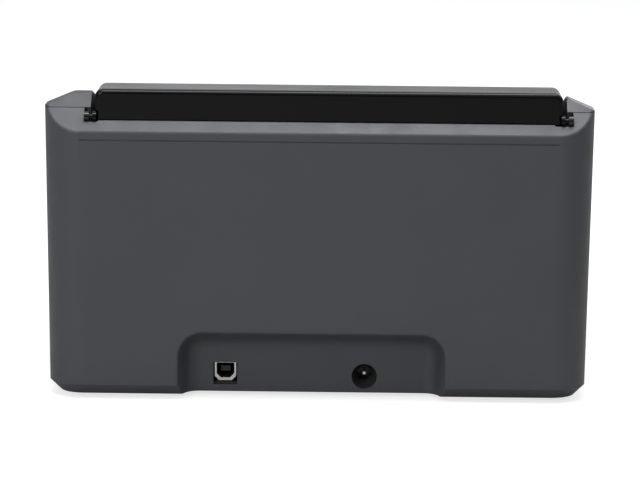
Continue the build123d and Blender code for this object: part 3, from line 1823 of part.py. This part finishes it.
pieces = dict(casing_pieces)
for name, shape in path_pieces.items():
    pieces[name] = on_path(shape)

for name, shape in pieces.items():
    export_step(shape, f"parts/{name}.step")
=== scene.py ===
import math

import bmesh
import bpy
from mathutils import Matrix, Vector


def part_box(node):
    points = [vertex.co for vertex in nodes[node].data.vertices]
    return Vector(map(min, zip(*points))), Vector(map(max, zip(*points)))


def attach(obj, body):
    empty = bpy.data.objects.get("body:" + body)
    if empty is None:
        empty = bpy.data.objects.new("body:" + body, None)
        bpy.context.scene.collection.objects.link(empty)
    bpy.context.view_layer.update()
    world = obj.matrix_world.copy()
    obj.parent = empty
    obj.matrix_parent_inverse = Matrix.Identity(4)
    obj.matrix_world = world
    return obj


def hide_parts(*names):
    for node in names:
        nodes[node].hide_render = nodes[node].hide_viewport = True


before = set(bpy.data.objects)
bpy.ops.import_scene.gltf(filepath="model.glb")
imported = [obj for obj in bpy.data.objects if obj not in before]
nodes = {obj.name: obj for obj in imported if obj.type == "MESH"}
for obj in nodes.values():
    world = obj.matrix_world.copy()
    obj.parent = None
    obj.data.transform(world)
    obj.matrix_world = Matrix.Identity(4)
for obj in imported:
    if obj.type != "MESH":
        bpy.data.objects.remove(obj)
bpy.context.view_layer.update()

# Lengths are metres in this script, so MM turns millimetres into them.
MM = 0.001

# Camera: the photograph's place, aim and lens
CAMERA_AT = Vector((-0.01526, 1.810, 0.36645))
CAMERA_YAW = 0.0084038
CAMERA_PITCH = 0.161652
CAMERA_ROLL = 0.0096711
FOCAL_SHARE = 3180.03 / 640
SENSOR_WIDTH = 36.0
VIEW_REACH = 200.0

# The floor, and its extra brightness to the camera and in gloss, where 1 is white
FLOOR_SIZE = 40.0
FLOOR_COLOUR = (0.42, 0.42, 0.42)
FLOOR_ROUGHNESS = 0.9
FLOOR_GLOSS = 0.1
FLOOR_WHITE = 0.72
FLOOR_MIRRORED = 0.10

# Brightness of the world, where 1 is white, and the headings between which it changes
WORLD_TINT = (0.97, 0.98, 1.0)
WORLD_TOP = 0.9
WORLD_FRONT = 0.42
WORLD_BEHIND = 0.16
TOP_HEADINGS = (0.25, 0.9)
FRONT_HEADINGS = (0.2, -0.6)

# Flat lamps: place, aim, size and power in watts
LAMPS = {
    "overhead_strip": ((-0.05, 0.10, 1.15), (0.0, 0.05, 0.10), (1.3, 0.16), 8.0),
    "overhead_soft": ((0.25, 0.25, 1.30), (0.0, 0.0, 0.10), (1.3, 0.9), 2.5),
    "camera_side": ((0.9, 1.7, 0.8), (0.05, 0.1, 0.08), (0.8, 0.8), 9.0),
    "front_fill": ((-0.9, -1.6, 0.9), (0.0, 0.0, 0.08), (0.9, 0.9), 8.0),
}

# Dust, grease and a painted highlight on sharp edges, and how strongly plastic bends light
PLASTIC_IOR = 1.5
SETTLED_DUST = (0.42, 0.41, 0.39)
DUST_SPECKS = (0.35, 0.34, 0.33)
GREASE = (0.42, 0.36, 0.24)
# Reach, gain and samples of the edge finder for the painted highlight on sharp edges
EDGE_HIGHLIGHT_RADIUS = 0.5 * MM
EDGE_HIGHLIGHT_GAIN = 6.0
EDGE_HIGHLIGHT_SAMPLES = 4

# Circuit boards, and the height above which the main board's parts are black
SOLDER_MASK = (0.012, 0.115, 0.045)
COPPER_TRACK = (0.03, 0.22, 0.08)
TINNED_PAD = (0.62, 0.60, 0.55)
BLACK_PARTS = (0.025, 0.025, 0.028)
MAIN_BOARD_TOP = 0.01985


# Node materials


class Wiring:
    """Short calls to add and link the nodes of a material or a world."""

    def __init__(self, tree):
        self.tree = tree

    def add(self, kind, **settings):
        node = self.tree.nodes.new(kind)
        for key, value in settings.items():
            setattr(node, key, value)
        return node

    def feed(self, target, value):
        """Sets a socket to a value, or links it to another socket."""
        if isinstance(value, bpy.types.NodeSocket):
            self.tree.links.new(value, target)
        else:
            target.default_value = value

    def maths(self, operation, first, second):
        node = self.add("ShaderNodeMath", operation=operation)
        self.feed(node.inputs[0], first)
        self.feed(node.inputs[1], second)
        return node.outputs[0]

    def ramp(self, value, low, high, to_low=0.0, to_high=1.0):
        """Maps low to to_low and high to to_high, and holds those beyond them."""
        node = self.add("ShaderNodeMapRange")
        for socket, setting in zip(node.inputs[:5], (value, low, high, to_low, to_high)):
            self.feed(socket, setting)
        return node.outputs["Result"]

    def along(self, axis, vector):
        """One of a vector's three parts."""
        node = self.add("ShaderNodeSeparateXYZ")
        self.feed(node.inputs[0], vector)
        return node.outputs[axis]


class Paint(Wiring):
    """A node material that is built up step by step."""

    def __init__(self, name, colour, roughness, metallic=0.0):
        self.material = bpy.data.materials.new(name)
        self.material.use_nodes = True
        super().__init__(self.material.node_tree)
        self.shader = self.tree.nodes["Principled BSDF"]
        self.colour = (*colour, 1.0)
        self.shader.inputs["Base Color"].default_value = self.colour
        self.shader.inputs["Roughness"].default_value = roughness
        self.shader.inputs["Metallic"].default_value = metallic
        self.shader.inputs["IOR"].default_value = PLASTIC_IOR
        self.coordinates = self.add("ShaderNodeTexCoord").outputs["Object"]
        self.colour_socket = None
        self.bump_socket = None

    def noise(self, scale, detail, stretch=None):
        """Noise from 0 to 1 at a number of waves per metre."""
        source = self.coordinates
        if stretch:
            mapping = self.add("ShaderNodeMapping")
            mapping.inputs["Scale"].default_value = stretch
            self.feed(mapping.inputs["Vector"], source)
            source = mapping.outputs["Vector"]
        node = self.add("ShaderNodeTexNoise")
        self.feed(node.inputs["Vector"], source)
        node.inputs["Scale"].default_value = scale
        node.inputs["Detail"].default_value = detail
        return node.outputs["Fac"]

    def cells(self, scale):
        """Distance to the nearest of many scattered points."""
        node = self.add("ShaderNodeTexVoronoi")
        self.feed(node.inputs["Vector"], self.coordinates)
        node.inputs["Scale"].default_value = scale
        return node.outputs["Distance"]

    def facing_up(self):
        """How far a surface faces up, 1 where it is level."""
        return self.along("Z", self.add("ShaderNodeNewGeometry").outputs["Normal"])

    def mix(self, share, colour):
        """Lays a colour over what is there, by a share from 0 to 1."""
        node = self.add("ShaderNodeMix", data_type="RGBA")
        colours = [socket for socket in node.inputs if socket.type == "RGBA"]
        self.feed(node.inputs["Factor"], share)
        self.feed(colours[0], self.colour_socket or self.colour)
        self.feed(colours[1], (*colour, 1.0) if isinstance(colour, tuple) else colour)
        self.colour_socket = [s for s in node.outputs if s.type == "RGBA"][0]
        self.feed(self.shader.inputs["Base Color"], self.colour_socket)

    def bump(self, height, distance, strength):
        """Adds relief of a height in metres to what is there."""
        node = self.add("ShaderNodeBump")
        node.inputs["Strength"].default_value = strength
        node.inputs["Distance"].default_value = distance
        self.feed(node.inputs["Height"], height)
        if self.bump_socket:
            self.feed(node.inputs["Normal"], self.bump_socket)
        self.bump_socket = node.outputs["Normal"]
        self.feed(self.shader.inputs["Normal"], self.bump_socket)

    def rough(self, value):
        self.feed(self.shader.inputs["Roughness"], value)

    def edge_share(self):
        """1 on sharp edges and 0 on open faces; the mask of the painted edge highlight."""
        bevel = self.add("ShaderNodeBevel", samples=EDGE_HIGHLIGHT_SAMPLES)
        bevel.inputs["Radius"].default_value = EDGE_HIGHLIGHT_RADIUS
        dot = self.add("ShaderNodeVectorMath", operation="DOT_PRODUCT")
        self.feed(dot.inputs[0], bevel.outputs["Normal"])
        self.feed(dot.inputs[1], self.add("ShaderNodeNewGeometry").outputs["Normal"])
        turned = self.maths("SUBTRACT", 1.0, dot.outputs["Value"])
        return self.maths("MULTIPLY", turned, EDGE_HIGHLIGHT_GAIN)


def scaled(colour, factor):
    """A colour made darker or lighter."""
    return tuple(min(1.0, channel * factor) for channel in colour)


def moulded(name, colour, roughness=0.46, grain=1900.0, depth=0.020, edge_highlight_share=0.25):
    """Moulded plastic with a fine spark-eroded grain, slow tone changes and a painted highlight on
    its sharp edges, broken into patches.
    """
    paint = Paint(name, colour, roughness)
    slow = paint.noise(14.0, 3.0)
    fine = paint.noise(grain, 2.0)
    paint.mix(paint.ramp(slow, 0.35, 0.65, 0.0, 0.5), scaled(colour, 1.14))
    paint.mix(paint.ramp(fine, 0.45, 0.75, 0.0, 0.35), scaled(colour, 0.80))
    # Painted highlight: sharp edges made lighter in patches, standing in for light caught on the
    # edges
    highlight_patches = paint.ramp(paint.noise(160.0, 5.0), 0.40, 0.72)
    edge_highlight = paint.maths("MULTIPLY", paint.edge_share(), highlight_patches)
    paint.mix(paint.ramp(edge_highlight, 0.0, 1.0, 0.0, edge_highlight_share), scaled(colour, 2.4))
    dust = paint.maths("MULTIPLY", paint.ramp(paint.facing_up(), 0.5, 1.0),
                       paint.ramp(paint.noise(60.0, 6.0), 0.45, 0.80))
    paint.mix(paint.ramp(dust, 0.0, 1.0, 0.0, 0.10), SETTLED_DUST)
    paint.rough(paint.ramp(paint.noise(90.0, 4.0), 0.3, 0.7, roughness - 0.04, roughness + 0.07))
    paint.bump(paint.cells(grain * 0.7), depth * MM, 0.35)
    paint.bump(fine, depth * MM, 0.35)
    return paint.material


def polished(name, colour, roughness=0.07, gloss=0.5):
    """Polished plastic with a clear gloss, hairline scratches and a little dust."""
    paint = Paint(name, colour, roughness)
    paint.shader.inputs["Specular IOR Level"].default_value = gloss
    hairs = paint.noise(900.0, 2.0, stretch=(0.06, 1.0, 1.0))
    smears = paint.noise(18.0, 4.0)
    paint.rough(paint.ramp(smears, 0.35, 0.75, roughness * 0.7, roughness * 1.7))
    specks = paint.ramp(paint.cells(420.0), 0.0, 0.10, 1.0, 0.0)
    settled = paint.maths("MULTIPLY", specks, paint.ramp(paint.facing_up(), 0.6, 1.0))
    paint.mix(paint.ramp(settled, 0.0, 1.0, 0.0, 0.22), DUST_SPECKS)
    paint.bump(paint.ramp(hairs, 0.62, 0.80), 0.0012 * MM, 0.6)
    paint.bump(paint.noise(34.0, 2.0), 0.02 * MM, 0.25)
    return paint.material


def rubber(name, colour, roughness=0.72):
    """Matt rubber, paler where it is rubbed."""
    paint = Paint(name, colour, roughness)
    paint.mix(paint.ramp(paint.noise(240.0, 5.0), 0.4, 0.75, 0.0, 0.5), scaled(colour, 1.9))
    paint.rough(paint.ramp(paint.noise(500.0, 3.0), 0.3, 0.7, roughness - 0.08, roughness + 0.1))
    paint.bump(paint.noise(2600.0, 3.0), 0.03 * MM, 0.5)
    return paint.material


def metal(name, colour, roughness, stretch, tarnish):
    """Bare or plated metal with drawn lines along one axis and faint tarnish."""
    paint = Paint(name, colour, roughness, metallic=1.0)
    lines = paint.noise(1500.0, 3.0, stretch=stretch)
    paint.mix(paint.ramp(lines, 0.35, 0.7, 0.0, 0.45), scaled(colour, 0.72))
    paint.mix(paint.ramp(paint.noise(42.0, 5.0), 0.5, 0.85, 0.0, tarnish), scaled(colour, 0.45))
    paint.rough(paint.ramp(lines, 0.3, 0.7, roughness * 0.75, roughness * 1.35))
    paint.bump(lines, 0.004 * MM, 0.4)
    return paint.material


def acetal(name, colour):
    """Milky gear plastic, a little see-through, with faint mould swirls."""
    paint = Paint(name, colour, 0.34)
    paint.shader.inputs["Subsurface Weight"].default_value = 0.15
    paint.shader.inputs["Subsurface Scale"].default_value = 2.0 * MM
    paint.mix(paint.ramp(paint.noise(70.0, 4.0), 0.4, 0.7, 0.0, 0.5), scaled(colour, 0.86))
    grease = paint.ramp(paint.noise(120.0, 4.0), 0.58, 0.72)
    paint.mix(paint.ramp(grease, 0.0, 1.0, 0.0, 0.35), GREASE)
    paint.rough(paint.ramp(grease, 0.0, 1.0, 0.36, 0.14))
    paint.bump(paint.noise(900.0, 2.0), 0.006 * MM, 0.4)
    return paint.material


def clear_glass(name):
    """Greenish clear glass with faint smears."""
    paint = Paint(name, (0.86, 0.93, 0.91), 0.03)
    paint.shader.inputs["Transmission Weight"].default_value = 0.85
    smears = paint.noise(55.0, 4.0)
    paint.rough(paint.ramp(smears, 0.45, 0.8, 0.02, 0.14))
    paint.mix(paint.ramp(smears, 0.5, 0.9, 0.0, 0.15), (0.7, 0.72, 0.72))
    return paint.material


def frosted(name, colour, glow):
    """A small light pipe of frosted plastic."""
    paint = Paint(name, colour, 0.35)
    paint.shader.inputs["Emission Color"].default_value = (*glow, 1.0)
    paint.shader.inputs["Emission Strength"].default_value = 0.25
    paint.mix(paint.ramp(paint.noise(800.0, 3.0), 0.4, 0.7, 0.0, 0.3), scaled(colour, 0.8))
    paint.bump(paint.noise(3000.0, 2.0), 0.01 * MM, 0.5)
    return paint.material


def circuit_board(name, top_z):
    """Green solder mask with copper tracks and tinned pads, and black parts above top_z."""
    paint = Paint(name, SOLDER_MASK, 0.30)
    tracks = paint.add("ShaderNodeTexBrick", offset=0.37, squash=1.0)
    paint.feed(tracks.inputs["Vector"], paint.coordinates)
    spacing = {"Scale": 260.0, "Mortar Size": 0.06, "Brick Width": 1.6, "Row Height": 0.28}
    for socket, value in spacing.items():
        tracks.inputs[socket].default_value = value
    line = tracks.outputs["Fac"]
    paint.mix(paint.ramp(line, 0.0, 1.0, 0.0, 0.7), COPPER_TRACK)
    pads = paint.ramp(paint.cells(330.0), 0.10, 0.14, 1.0, 0.0)
    paint.mix(pads, TINNED_PAD)
    paint.bump(line, 0.02 * MM, 0.5)
    paint.rough(paint.ramp(paint.noise(200.0, 3.0), 0.3, 0.7, 0.24, 0.4))
    if top_z:
        height = paint.along("Z", paint.coordinates)
        paint.mix(paint.ramp(height, top_z, top_z + 0.1 * MM), BLACK_PARTS)
    return paint.material


shell_plastic = moulded("slate_casing", (0.062, 0.064, 0.072))
cheek_plastic = moulded("slate_cheeks", (0.043, 0.044, 0.049), 0.43)
gloss_black = polished("polished_black", (0.0025, 0.0025, 0.0028), 0.07, 0.22)
hinge_black = polished("hinge_black", (0.005, 0.005, 0.005), 0.12)
jack_grey = moulded("jack_grey", (0.034, 0.034, 0.037), 0.34, 1500.0, 0.006)
# Painted shade: near-black plastic that stands in for the shadow inside the data socket
painted_shade_black = moulded("painted_shade_black", (0.003, 0.003, 0.003), 0.6, 1500.0, 0.004, 0.0)
door_black = polished("door_black", (0.007, 0.007, 0.008), 0.08)
satin_black = moulded("satin_black", (0.020, 0.020, 0.022), 0.40, 1500.0, 0.012)
pan_black = moulded("pan_black", (0.030, 0.030, 0.033), 0.52, 1100.0, 0.03)
guide_black = moulded("guide_black", (0.034, 0.034, 0.037), 0.36, 1500.0, 0.01)
knob_grey = moulded("button_grey", (0.15, 0.15, 0.16), 0.33, 1500.0, 0.008)
soft_rubber = rubber("soft_rubber", (0.022, 0.022, 0.023))
grey_rubber = rubber("grey_rubber", (0.20, 0.20, 0.205), 0.62)
plated_sheet = metal("plated_sheet", (0.62, 0.62, 0.60), 0.36, (0.03, 1.0, 0.03), 0.3)
ground_steel = metal("ground_steel", (0.66, 0.65, 0.63), 0.20, (1.0, 0.02, 0.02), 0.1)
screw_steel = metal("screw_steel", (0.55, 0.55, 0.56), 0.30, (0.5, 0.5, 0.5), 0.3)
bronze = metal("sintered_bronze", (0.58, 0.38, 0.16), 0.42, (0.5, 0.5, 0.5), 0.4)
nickel = metal("nickel_shell", (0.70, 0.68, 0.64), 0.24, (1.0, 0.05, 1.0), 0.2)
motor_black = moulded("motor_black", (0.02, 0.02, 0.022), 0.38, 900.0, 0.02)
milky = acetal("milky_gears", (0.68, 0.66, 0.60))
glass = clear_glass("float_glass")
lamp_plastic = frosted("lamp_plastic", (0.55, 0.58, 0.58), (0.30, 0.75, 0.45))
board_green = circuit_board("main_board_green", MAIN_BOARD_TOP)
switch_green = circuit_board("switch_board_green", None)


# Finish and softened edges of the solids

WELD_REACH = 0.002 * MM
FLAT_ANGLE = math.radians(0.4)
SOFT_EDGE_ANGLE = math.radians(28.0)
SOFT_EDGE_SEGMENTS = 2
NORMALS_WEIGHT = 60


def soften(name, material, width):
    """Gives a solid its material, and rounds its hard edges by a width in millimetres."""
    node = nodes[name]
    node.data.materials.clear()
    node.data.materials.append(material)
    weld = node.modifiers.new("weld", "WELD")
    weld.merge_threshold = WELD_REACH
    flat = node.modifiers.new("flat", "DECIMATE")
    flat.decimate_type = "DISSOLVE"
    flat.angle_limit = FLAT_ANGLE
    bevel = node.modifiers.new("soft_edge", "BEVEL")
    bevel.width = width * MM
    bevel.segments = SOFT_EDGE_SEGMENTS
    bevel.limit_method = "ANGLE"
    bevel.angle_limit = SOFT_EDGE_ANGLE
    bevel.miter_outer = "MITER_ARC"
    shade_smooth(node)


def shade_smooth(piece):
    """Smooth shading that keeps flat faces flat."""
    for polygon in piece.data.polygons:
        polygon.use_smooth = True
    normals = piece.modifiers.new("normals", "WEIGHTED_NORMAL")
    normals.mode = "FACE_AREA"
    normals.weight = NORMALS_WEIGHT
    normals.keep_sharp = False


# The material of each solid, and the width of its softened edges in millimetres
FINISHES = {
    "rear_shell": (shell_plastic, 0.45),
    "right_cheek": (cheek_plastic, 0.5),
    "left_cheek": (cheek_plastic, 0.5),
    "base_pan": (pan_black, 0.3),
    "rubber_feet": (soft_rubber, 0.5),
    "base_screws": (screw_steel, 0.15),
    "front_bezel": (satin_black, 0.3),
    "right_side_frame": (plated_sheet, 0.15),
    "left_side_frame": (plated_sheet, 0.15),
    "shaft_bushes": (bronze, 0.2),
    "paper_chute": (satin_black, 0.25),
    "upper_frame": (satin_black, 0.3),
    "upper_frame_lid": (satin_black, 0.4),
    "rear_scan_unit": (satin_black, 0.3),
    "rear_scan_glass": (glass, 0.15),
    "main_board": (board_green, 0.1),
    "usb_socket": (nickel, 0.15),
    "usb_tongue": (satin_black, 0.2),
    "power_jack": (jack_grey, 0.2),
    "power_jack_pin": (nickel, 0.2),
    "motor_can": (motor_black, 0.6),
    "hinge_brackets": (hinge_black, 0.3),
    "cover_skin": (gloss_black, 0.35),
    "cover_liner": (satin_black, 0.3),
    "guide_pinion": (milky, 0.1),
    "right_side_guide": (guide_black, 0.35),
    "left_side_guide": (guide_black, 0.35),
    "tray_extension": (satin_black, 0.4),
    "pick_shaft": (ground_steel, 0.3),
    "separation_shaft": (ground_steel, 0.3),
    "feed_shaft": (ground_steel, 0.3),
    "exit_shaft": (ground_steel, 0.3),
    "pick_gear": (milky, 0.15),
    "separation_gear": (milky, 0.15),
    "feed_gear": (milky, 0.15),
    "exit_gear": (milky, 0.15),
    "motor_pinion": (bronze, 0.12),
    "climb_gear": (milky, 0.15),
    "link_gear": (milky, 0.15),
    "long_gear": (milky, 0.15),
    "paper_flag": (gloss_black, 0.25),
    "door_panel": (door_black, 0.4),
    "door_inner": (satin_black, 0.3),
    "front_scan_unit": (satin_black, 0.3),
    "front_scan_glass": (glass, 0.15),
    "switch_board": (switch_green, 0.1),
    "status_lights": (lamp_plastic, 0.15),
    "power_button": (knob_grey, 0.35),
    "scan_button": (knob_grey, 0.35),
    "eject_button": (knob_grey, 0.35),
    "output_tray": (satin_black, 0.4),
    "output_extension": (satin_black, 0.35),
    "paper_stop": (guide_black, 0.3),
}

for name, (material, width) in FINISHES.items():
    soften(name, material, width)


# Rubber tyres and spindles of the rollers

SHAFT_RADIUS = 3.0 * MM
RIB_DEPTH = 0.45 * MM
SIDES_TO_A_RIB = 6
RIBBED_EDGE = 0.5 * MM
LEAST_TYRE_GAP = 40.0 * MM
SPINDLE_RADIUS = 2.0 * MM
SPINDLE_EDGE = 0.3 * MM
SPINDLE_SIDES = 40
IDLE_TYRE_EDGE = 0.6 * MM
IDLE_TYRE_BORE = 0.98 * SPINDLE_RADIUS
ROUND_INSET = 0.3
IDLE_TYRE_SIDES = 72
SEAM_REACH = 1e-7


def new_piece(name, mesh_maker, material, body):
    """A mesh piece made by a function that fills a bmesh, riding on a body."""
    mesh = bpy.data.meshes.new(name)
    work = bmesh.new()
    mesh_maker(work)
    bmesh.ops.recalc_face_normals(work, faces=work.faces)
    work.to_mesh(mesh)
    work.free()
    piece = bpy.data.objects.new(name, mesh)
    bpy.context.scene.collection.objects.link(piece)
    mesh.materials.append(material)
    shade_smooth(piece)
    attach(piece, body)
    return piece


def bridge(work, loops):
    """Faces between each closed loop of points and the next."""
    for first, second in zip(loops, loops[1:]):
        for number in range(len(first)):
            following = (number + 1) % len(first)
            work.faces.new((first[number], first[following], second[following], second[number]))


def cap(work, loops):
    """Closes the first and the last loop."""
    work.faces.new(loops[0])
    work.faces.new(list(reversed(loops[-1])))


def lathe(work, profile, centre, sides, ribs=0):
    """Turns a profile of (x, radius) round an axis along X through a (y, z) centre."""
    rings = []
    for x, radius in profile:
        ring = []
        for number in range(sides):
            angle = 2 * math.pi * number / sides
            reach = radius - RIB_DEPTH * (0.5 - 0.5 * math.cos(ribs * angle)) ** 2
            point = (x, centre[0] + reach * math.cos(angle), centre[1] + reach * math.sin(angle))
            ring.append(work.verts.new(point))
        rings.append(ring)
    bridge(work, rings)
    return rings


def axis_of(name):
    """The (y, z) centre, the x reach and the radius of a node that turns about X."""
    low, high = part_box(name)
    return ((low.y + high.y) / 2, (low.z + high.z) / 2), (low.x, high.x), (high.z - low.z) / 2


def ring_profile(x, radius, bore, soft):
    """A tyre's section: rounded outer corners and a plain bore."""
    inset = ROUND_INSET * soft
    return [
        (x[0], bore),
        (x[0], radius - soft),
        (x[0] + inset, radius - inset),
        (x[0] + soft, radius),
        (x[1] - soft, radius),
        (x[1] - inset, radius - inset),
        (x[1], radius - soft),
        (x[1], bore),
        (x[0], bore),
    ]


def tyre_spans(node):
    """The x reach of each separate tyre in a node."""
    xs = sorted({round(vertex.co.x, 5) for vertex in nodes[node].data.vertices})
    groups = [[xs[0], xs[0]]]
    for x in xs[1:]:
        if x - groups[-1][1] > LEAST_TYRE_GAP:
            groups.append([x, x])
        groups[-1][1] = x
    return [tuple(group) for group in groups]


def ribbed_tyres(node, body, ribs):
    """Soft tyres with fine ribs across them, in place of plain rings."""
    centre, _, radius = axis_of(node)

    def fill(work):
        for span in tyre_spans(node):
            section = ring_profile(span, radius, SHAFT_RADIUS, RIBBED_EDGE)
            lathe(work, section, centre, ribs * SIDES_TO_A_RIB, ribs)
        bmesh.ops.remove_doubles(work, verts=work.verts, dist=SEAM_REACH)

    piece = new_piece(node + "_ribbed", fill, soft_rubber, body)
    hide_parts(node)


def idle_roller(node, driven_tyres, tyre_radius):
    """A steel spindle with grey tyres facing driven ones, in place of the one-piece roller."""
    centre, reach, _ = axis_of(node)

    def spindle(work):
        end_radius = SPINDLE_RADIUS - SPINDLE_EDGE
        section = [
            (reach[0], end_radius),
            (reach[0] + SPINDLE_EDGE, SPINDLE_RADIUS),
            (reach[1] - SPINDLE_EDGE, SPINDLE_RADIUS),
            (reach[1], end_radius),
        ]
        cap(work, lathe(work, section, centre, SPINDLE_SIDES))

    def tyres(work):
        for span in tyre_spans(driven_tyres):
            section = ring_profile(span, tyre_radius, IDLE_TYRE_BORE, IDLE_TYRE_EDGE)
            lathe(work, section, centre, IDLE_TYRE_SIDES)
        bmesh.ops.remove_doubles(work, verts=work.verts, dist=SEAM_REACH)

    steel = new_piece(node + "_spindle", spindle, ground_steel, node)
    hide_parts(node)
    new_piece(node + "_tyres", tyres, grey_rubber, node)


for node, body, ribs in (
    ("pick_tyre", "pick_roller", 44),
    ("separation_tyre", "separation_roller", 44),
    ("feed_tyres", "feed_roller", 36),
    ("exit_tyres", "exit_roller", 32),
):
    ribbed_tyres(node, body, ribs)

idle_roller("brake_roller", "pick_tyre", 9.0 * MM)
idle_roller("feed_pinch_roller", "feed_tyres", 6.0 * MM)
idle_roller("exit_pinch_roller", "exit_tyres", 5.5 * MM)


# Painted shade in the square data socket: a near-black tube lining its inside

SHADE_SHEET_WALL = 0.25 * MM
SHADE_SHEET_SETBACK = 0.9 * MM
SHADE_SHEET_GAP = 0.05 * MM
SHADE_SHEET_FLOOR = 0.1 * MM
MOUTH_HALF_WIDTH = 4.8 * MM
MOUTH_HALF_HEIGHT = 4.1 * MM
MOUTH_CORNER = 2.3 * MM
MOUTH_CORNER_INSET = 0.4


def mouth_loop(work, centre, y, inset):
    """The socket's mouth at one depth: a rectangle with its two lower corners cut."""
    wide = MOUTH_HALF_WIDTH - inset
    tall = MOUTH_HALF_HEIGHT - inset
    cut = MOUTH_CORNER - MOUTH_CORNER_INSET * inset
    points = (
        (-wide, tall), (wide, tall), (wide, cut - tall), (wide - cut, -tall),
        (cut - wide, -tall), (-wide, cut - tall),
    )
    return [work.verts.new((centre[0] + x, y, centre[1] + z)) for x, z in points]


def socket_shade_sheet(work):
    """A thin black tube in the socket with a floor at its back, painted shade in place of the
    socket's shadowed inside.
    """
    shell_low, shell_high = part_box("usb_socket")
    tongue_low, tongue_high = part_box("usb_tongue")
    centre = ((shell_low.x + shell_high.x) / 2, (tongue_low.z + tongue_high.z) / 2)
    front = shell_high.y - SHADE_SHEET_SETBACK
    back = tongue_low.y + SHADE_SHEET_FLOOR
    inner = SHADE_SHEET_GAP + SHADE_SHEET_WALL
    loops = [
        mouth_loop(work, centre, back + SHADE_SHEET_WALL, inner),
        mouth_loop(work, centre, front, inner),
        mouth_loop(work, centre, front, SHADE_SHEET_GAP),
        mouth_loop(work, centre, back, SHADE_SHEET_GAP),
    ]
    bridge(work, loops)
    cap(work, loops)


# Painted shade: the black tube darkens the socket's inside, where shadow falls
new_piece("socket_shade_sheet", socket_shade_sheet, painted_shade_black, "base")


# Stage, light and camera


def stage_floor():
    """A pale floor whose own colour is quiet, and which looks white to camera, gloss and glass."""
    mesh = bpy.data.meshes.new("floor")
    work = bmesh.new()
    bmesh.ops.create_grid(work, x_segments=1, y_segments=1, size=FLOOR_SIZE)
    work.to_mesh(mesh)
    work.free()
    floor = bpy.data.objects.new("floor", mesh)
    bpy.context.scene.collection.objects.link(floor)
    material = bpy.data.materials.new("pale_floor")
    material.use_nodes = True
    wires = Wiring(material.node_tree)
    shader = wires.tree.nodes["Principled BSDF"]
    shader.inputs["Base Color"].default_value = (*FLOOR_COLOUR, 1.0)
    shader.inputs["Roughness"].default_value = FLOOR_ROUGHNESS
    shader.inputs["Specular IOR Level"].default_value = FLOOR_GLOSS
    path = wires.add("ShaderNodeLightPath")
    seen = wires.maths("MULTIPLY", path.outputs["Is Camera Ray"], FLOOR_WHITE)
    through_glass = path.outputs["Is Transmission Ray"]
    bounced = wires.maths("MAXIMUM", path.outputs["Is Glossy Ray"], through_glass)
    mirrored = wires.maths("MULTIPLY", bounced, FLOOR_MIRRORED)
    white = wires.add("ShaderNodeEmission")
    wires.feed(white.inputs["Strength"], wires.maths("ADD", seen, mirrored))
    both = wires.add("ShaderNodeAddShader")
    wires.feed(both.inputs[0], shader.outputs[0])
    wires.feed(both.inputs[1], white.outputs[0])
    wires.feed(wires.tree.nodes["Material Output"].inputs["Surface"], both.outputs[0])
    mesh.materials.append(material)


def studio_world():
    """White to the camera; to other rays bright overhead and in front, dim behind the camera."""
    world = bpy.data.worlds.new("studio")
    bpy.context.scene.world = world
    world.use_nodes = True
    wires = Wiring(world.node_tree)
    heading = wires.add("ShaderNodeTexCoord").outputs["Generated"]
    overhead = wires.ramp(wires.along("Z", heading), *TOP_HEADINGS, 0.0, WORLD_TOP)
    in_front = wires.ramp(
        wires.along("Y", heading), *FRONT_HEADINGS, WORLD_BEHIND, WORLD_FRONT)
    soft = wires.tree.nodes["Background"]
    wires.feed(soft.inputs["Color"], (*WORLD_TINT, 1.0))
    wires.feed(soft.inputs["Strength"], wires.maths("MAXIMUM", overhead, in_front))
    white = wires.add("ShaderNodeBackground")
    mix = wires.add("ShaderNodeMixShader")
    path = wires.add("ShaderNodeLightPath")
    wires.feed(mix.inputs[0], path.outputs["Is Camera Ray"])
    wires.feed(mix.inputs[1], soft.outputs[0])
    wires.feed(mix.inputs[2], white.outputs[0])
    wires.feed(wires.tree.nodes["World Output"].inputs["Surface"], mix.outputs[0])


def softbox(name, at, aim, size, power):
    """A flat white lamp that faces a point."""
    light = bpy.data.lights.new(name, "AREA")
    light.shape = "RECTANGLE"
    light.size, light.size_y = size
    light.energy = power
    lamp = bpy.data.objects.new(name, light)
    lamp.location = at
    lamp.rotation_euler = (Vector(aim) - Vector(at)).to_track_quat("-Z", "Y").to_euler()
    bpy.context.scene.collection.objects.link(lamp)


def photo_camera():
    """A camera at the photograph's place, which looks at the rear of the object."""
    ahead = Vector((
        math.sin(CAMERA_YAW) * math.cos(CAMERA_PITCH),
        -math.cos(CAMERA_YAW) * math.cos(CAMERA_PITCH),
        -math.sin(CAMERA_PITCH),
    ))
    level = ahead.cross(Vector((0, 0, 1))).normalized()
    above = level.cross(ahead)
    right = math.cos(CAMERA_ROLL) * level + math.sin(CAMERA_ROLL) * above
    top = -math.sin(CAMERA_ROLL) * level + math.cos(CAMERA_ROLL) * above
    data = bpy.data.cameras.new("camera")
    data.sensor_fit = "HORIZONTAL"
    data.sensor_width = SENSOR_WIDTH
    data.lens = SENSOR_WIDTH * FOCAL_SHARE
    data.clip_end = VIEW_REACH
    camera = bpy.data.objects.new("camera", data)
    turn = Matrix((right, top, -ahead)).transposed()
    camera.matrix_world = Matrix.Translation(CAMERA_AT) @ turn.to_4x4()
    bpy.context.scene.collection.objects.link(camera)
    bpy.context.scene.camera = camera


stage_floor()
studio_world()
for name, settings in LAMPS.items():
    softbox(name, *settings)
photo_camera()
bpy.context.scene.view_settings.view_transform = "Standard"
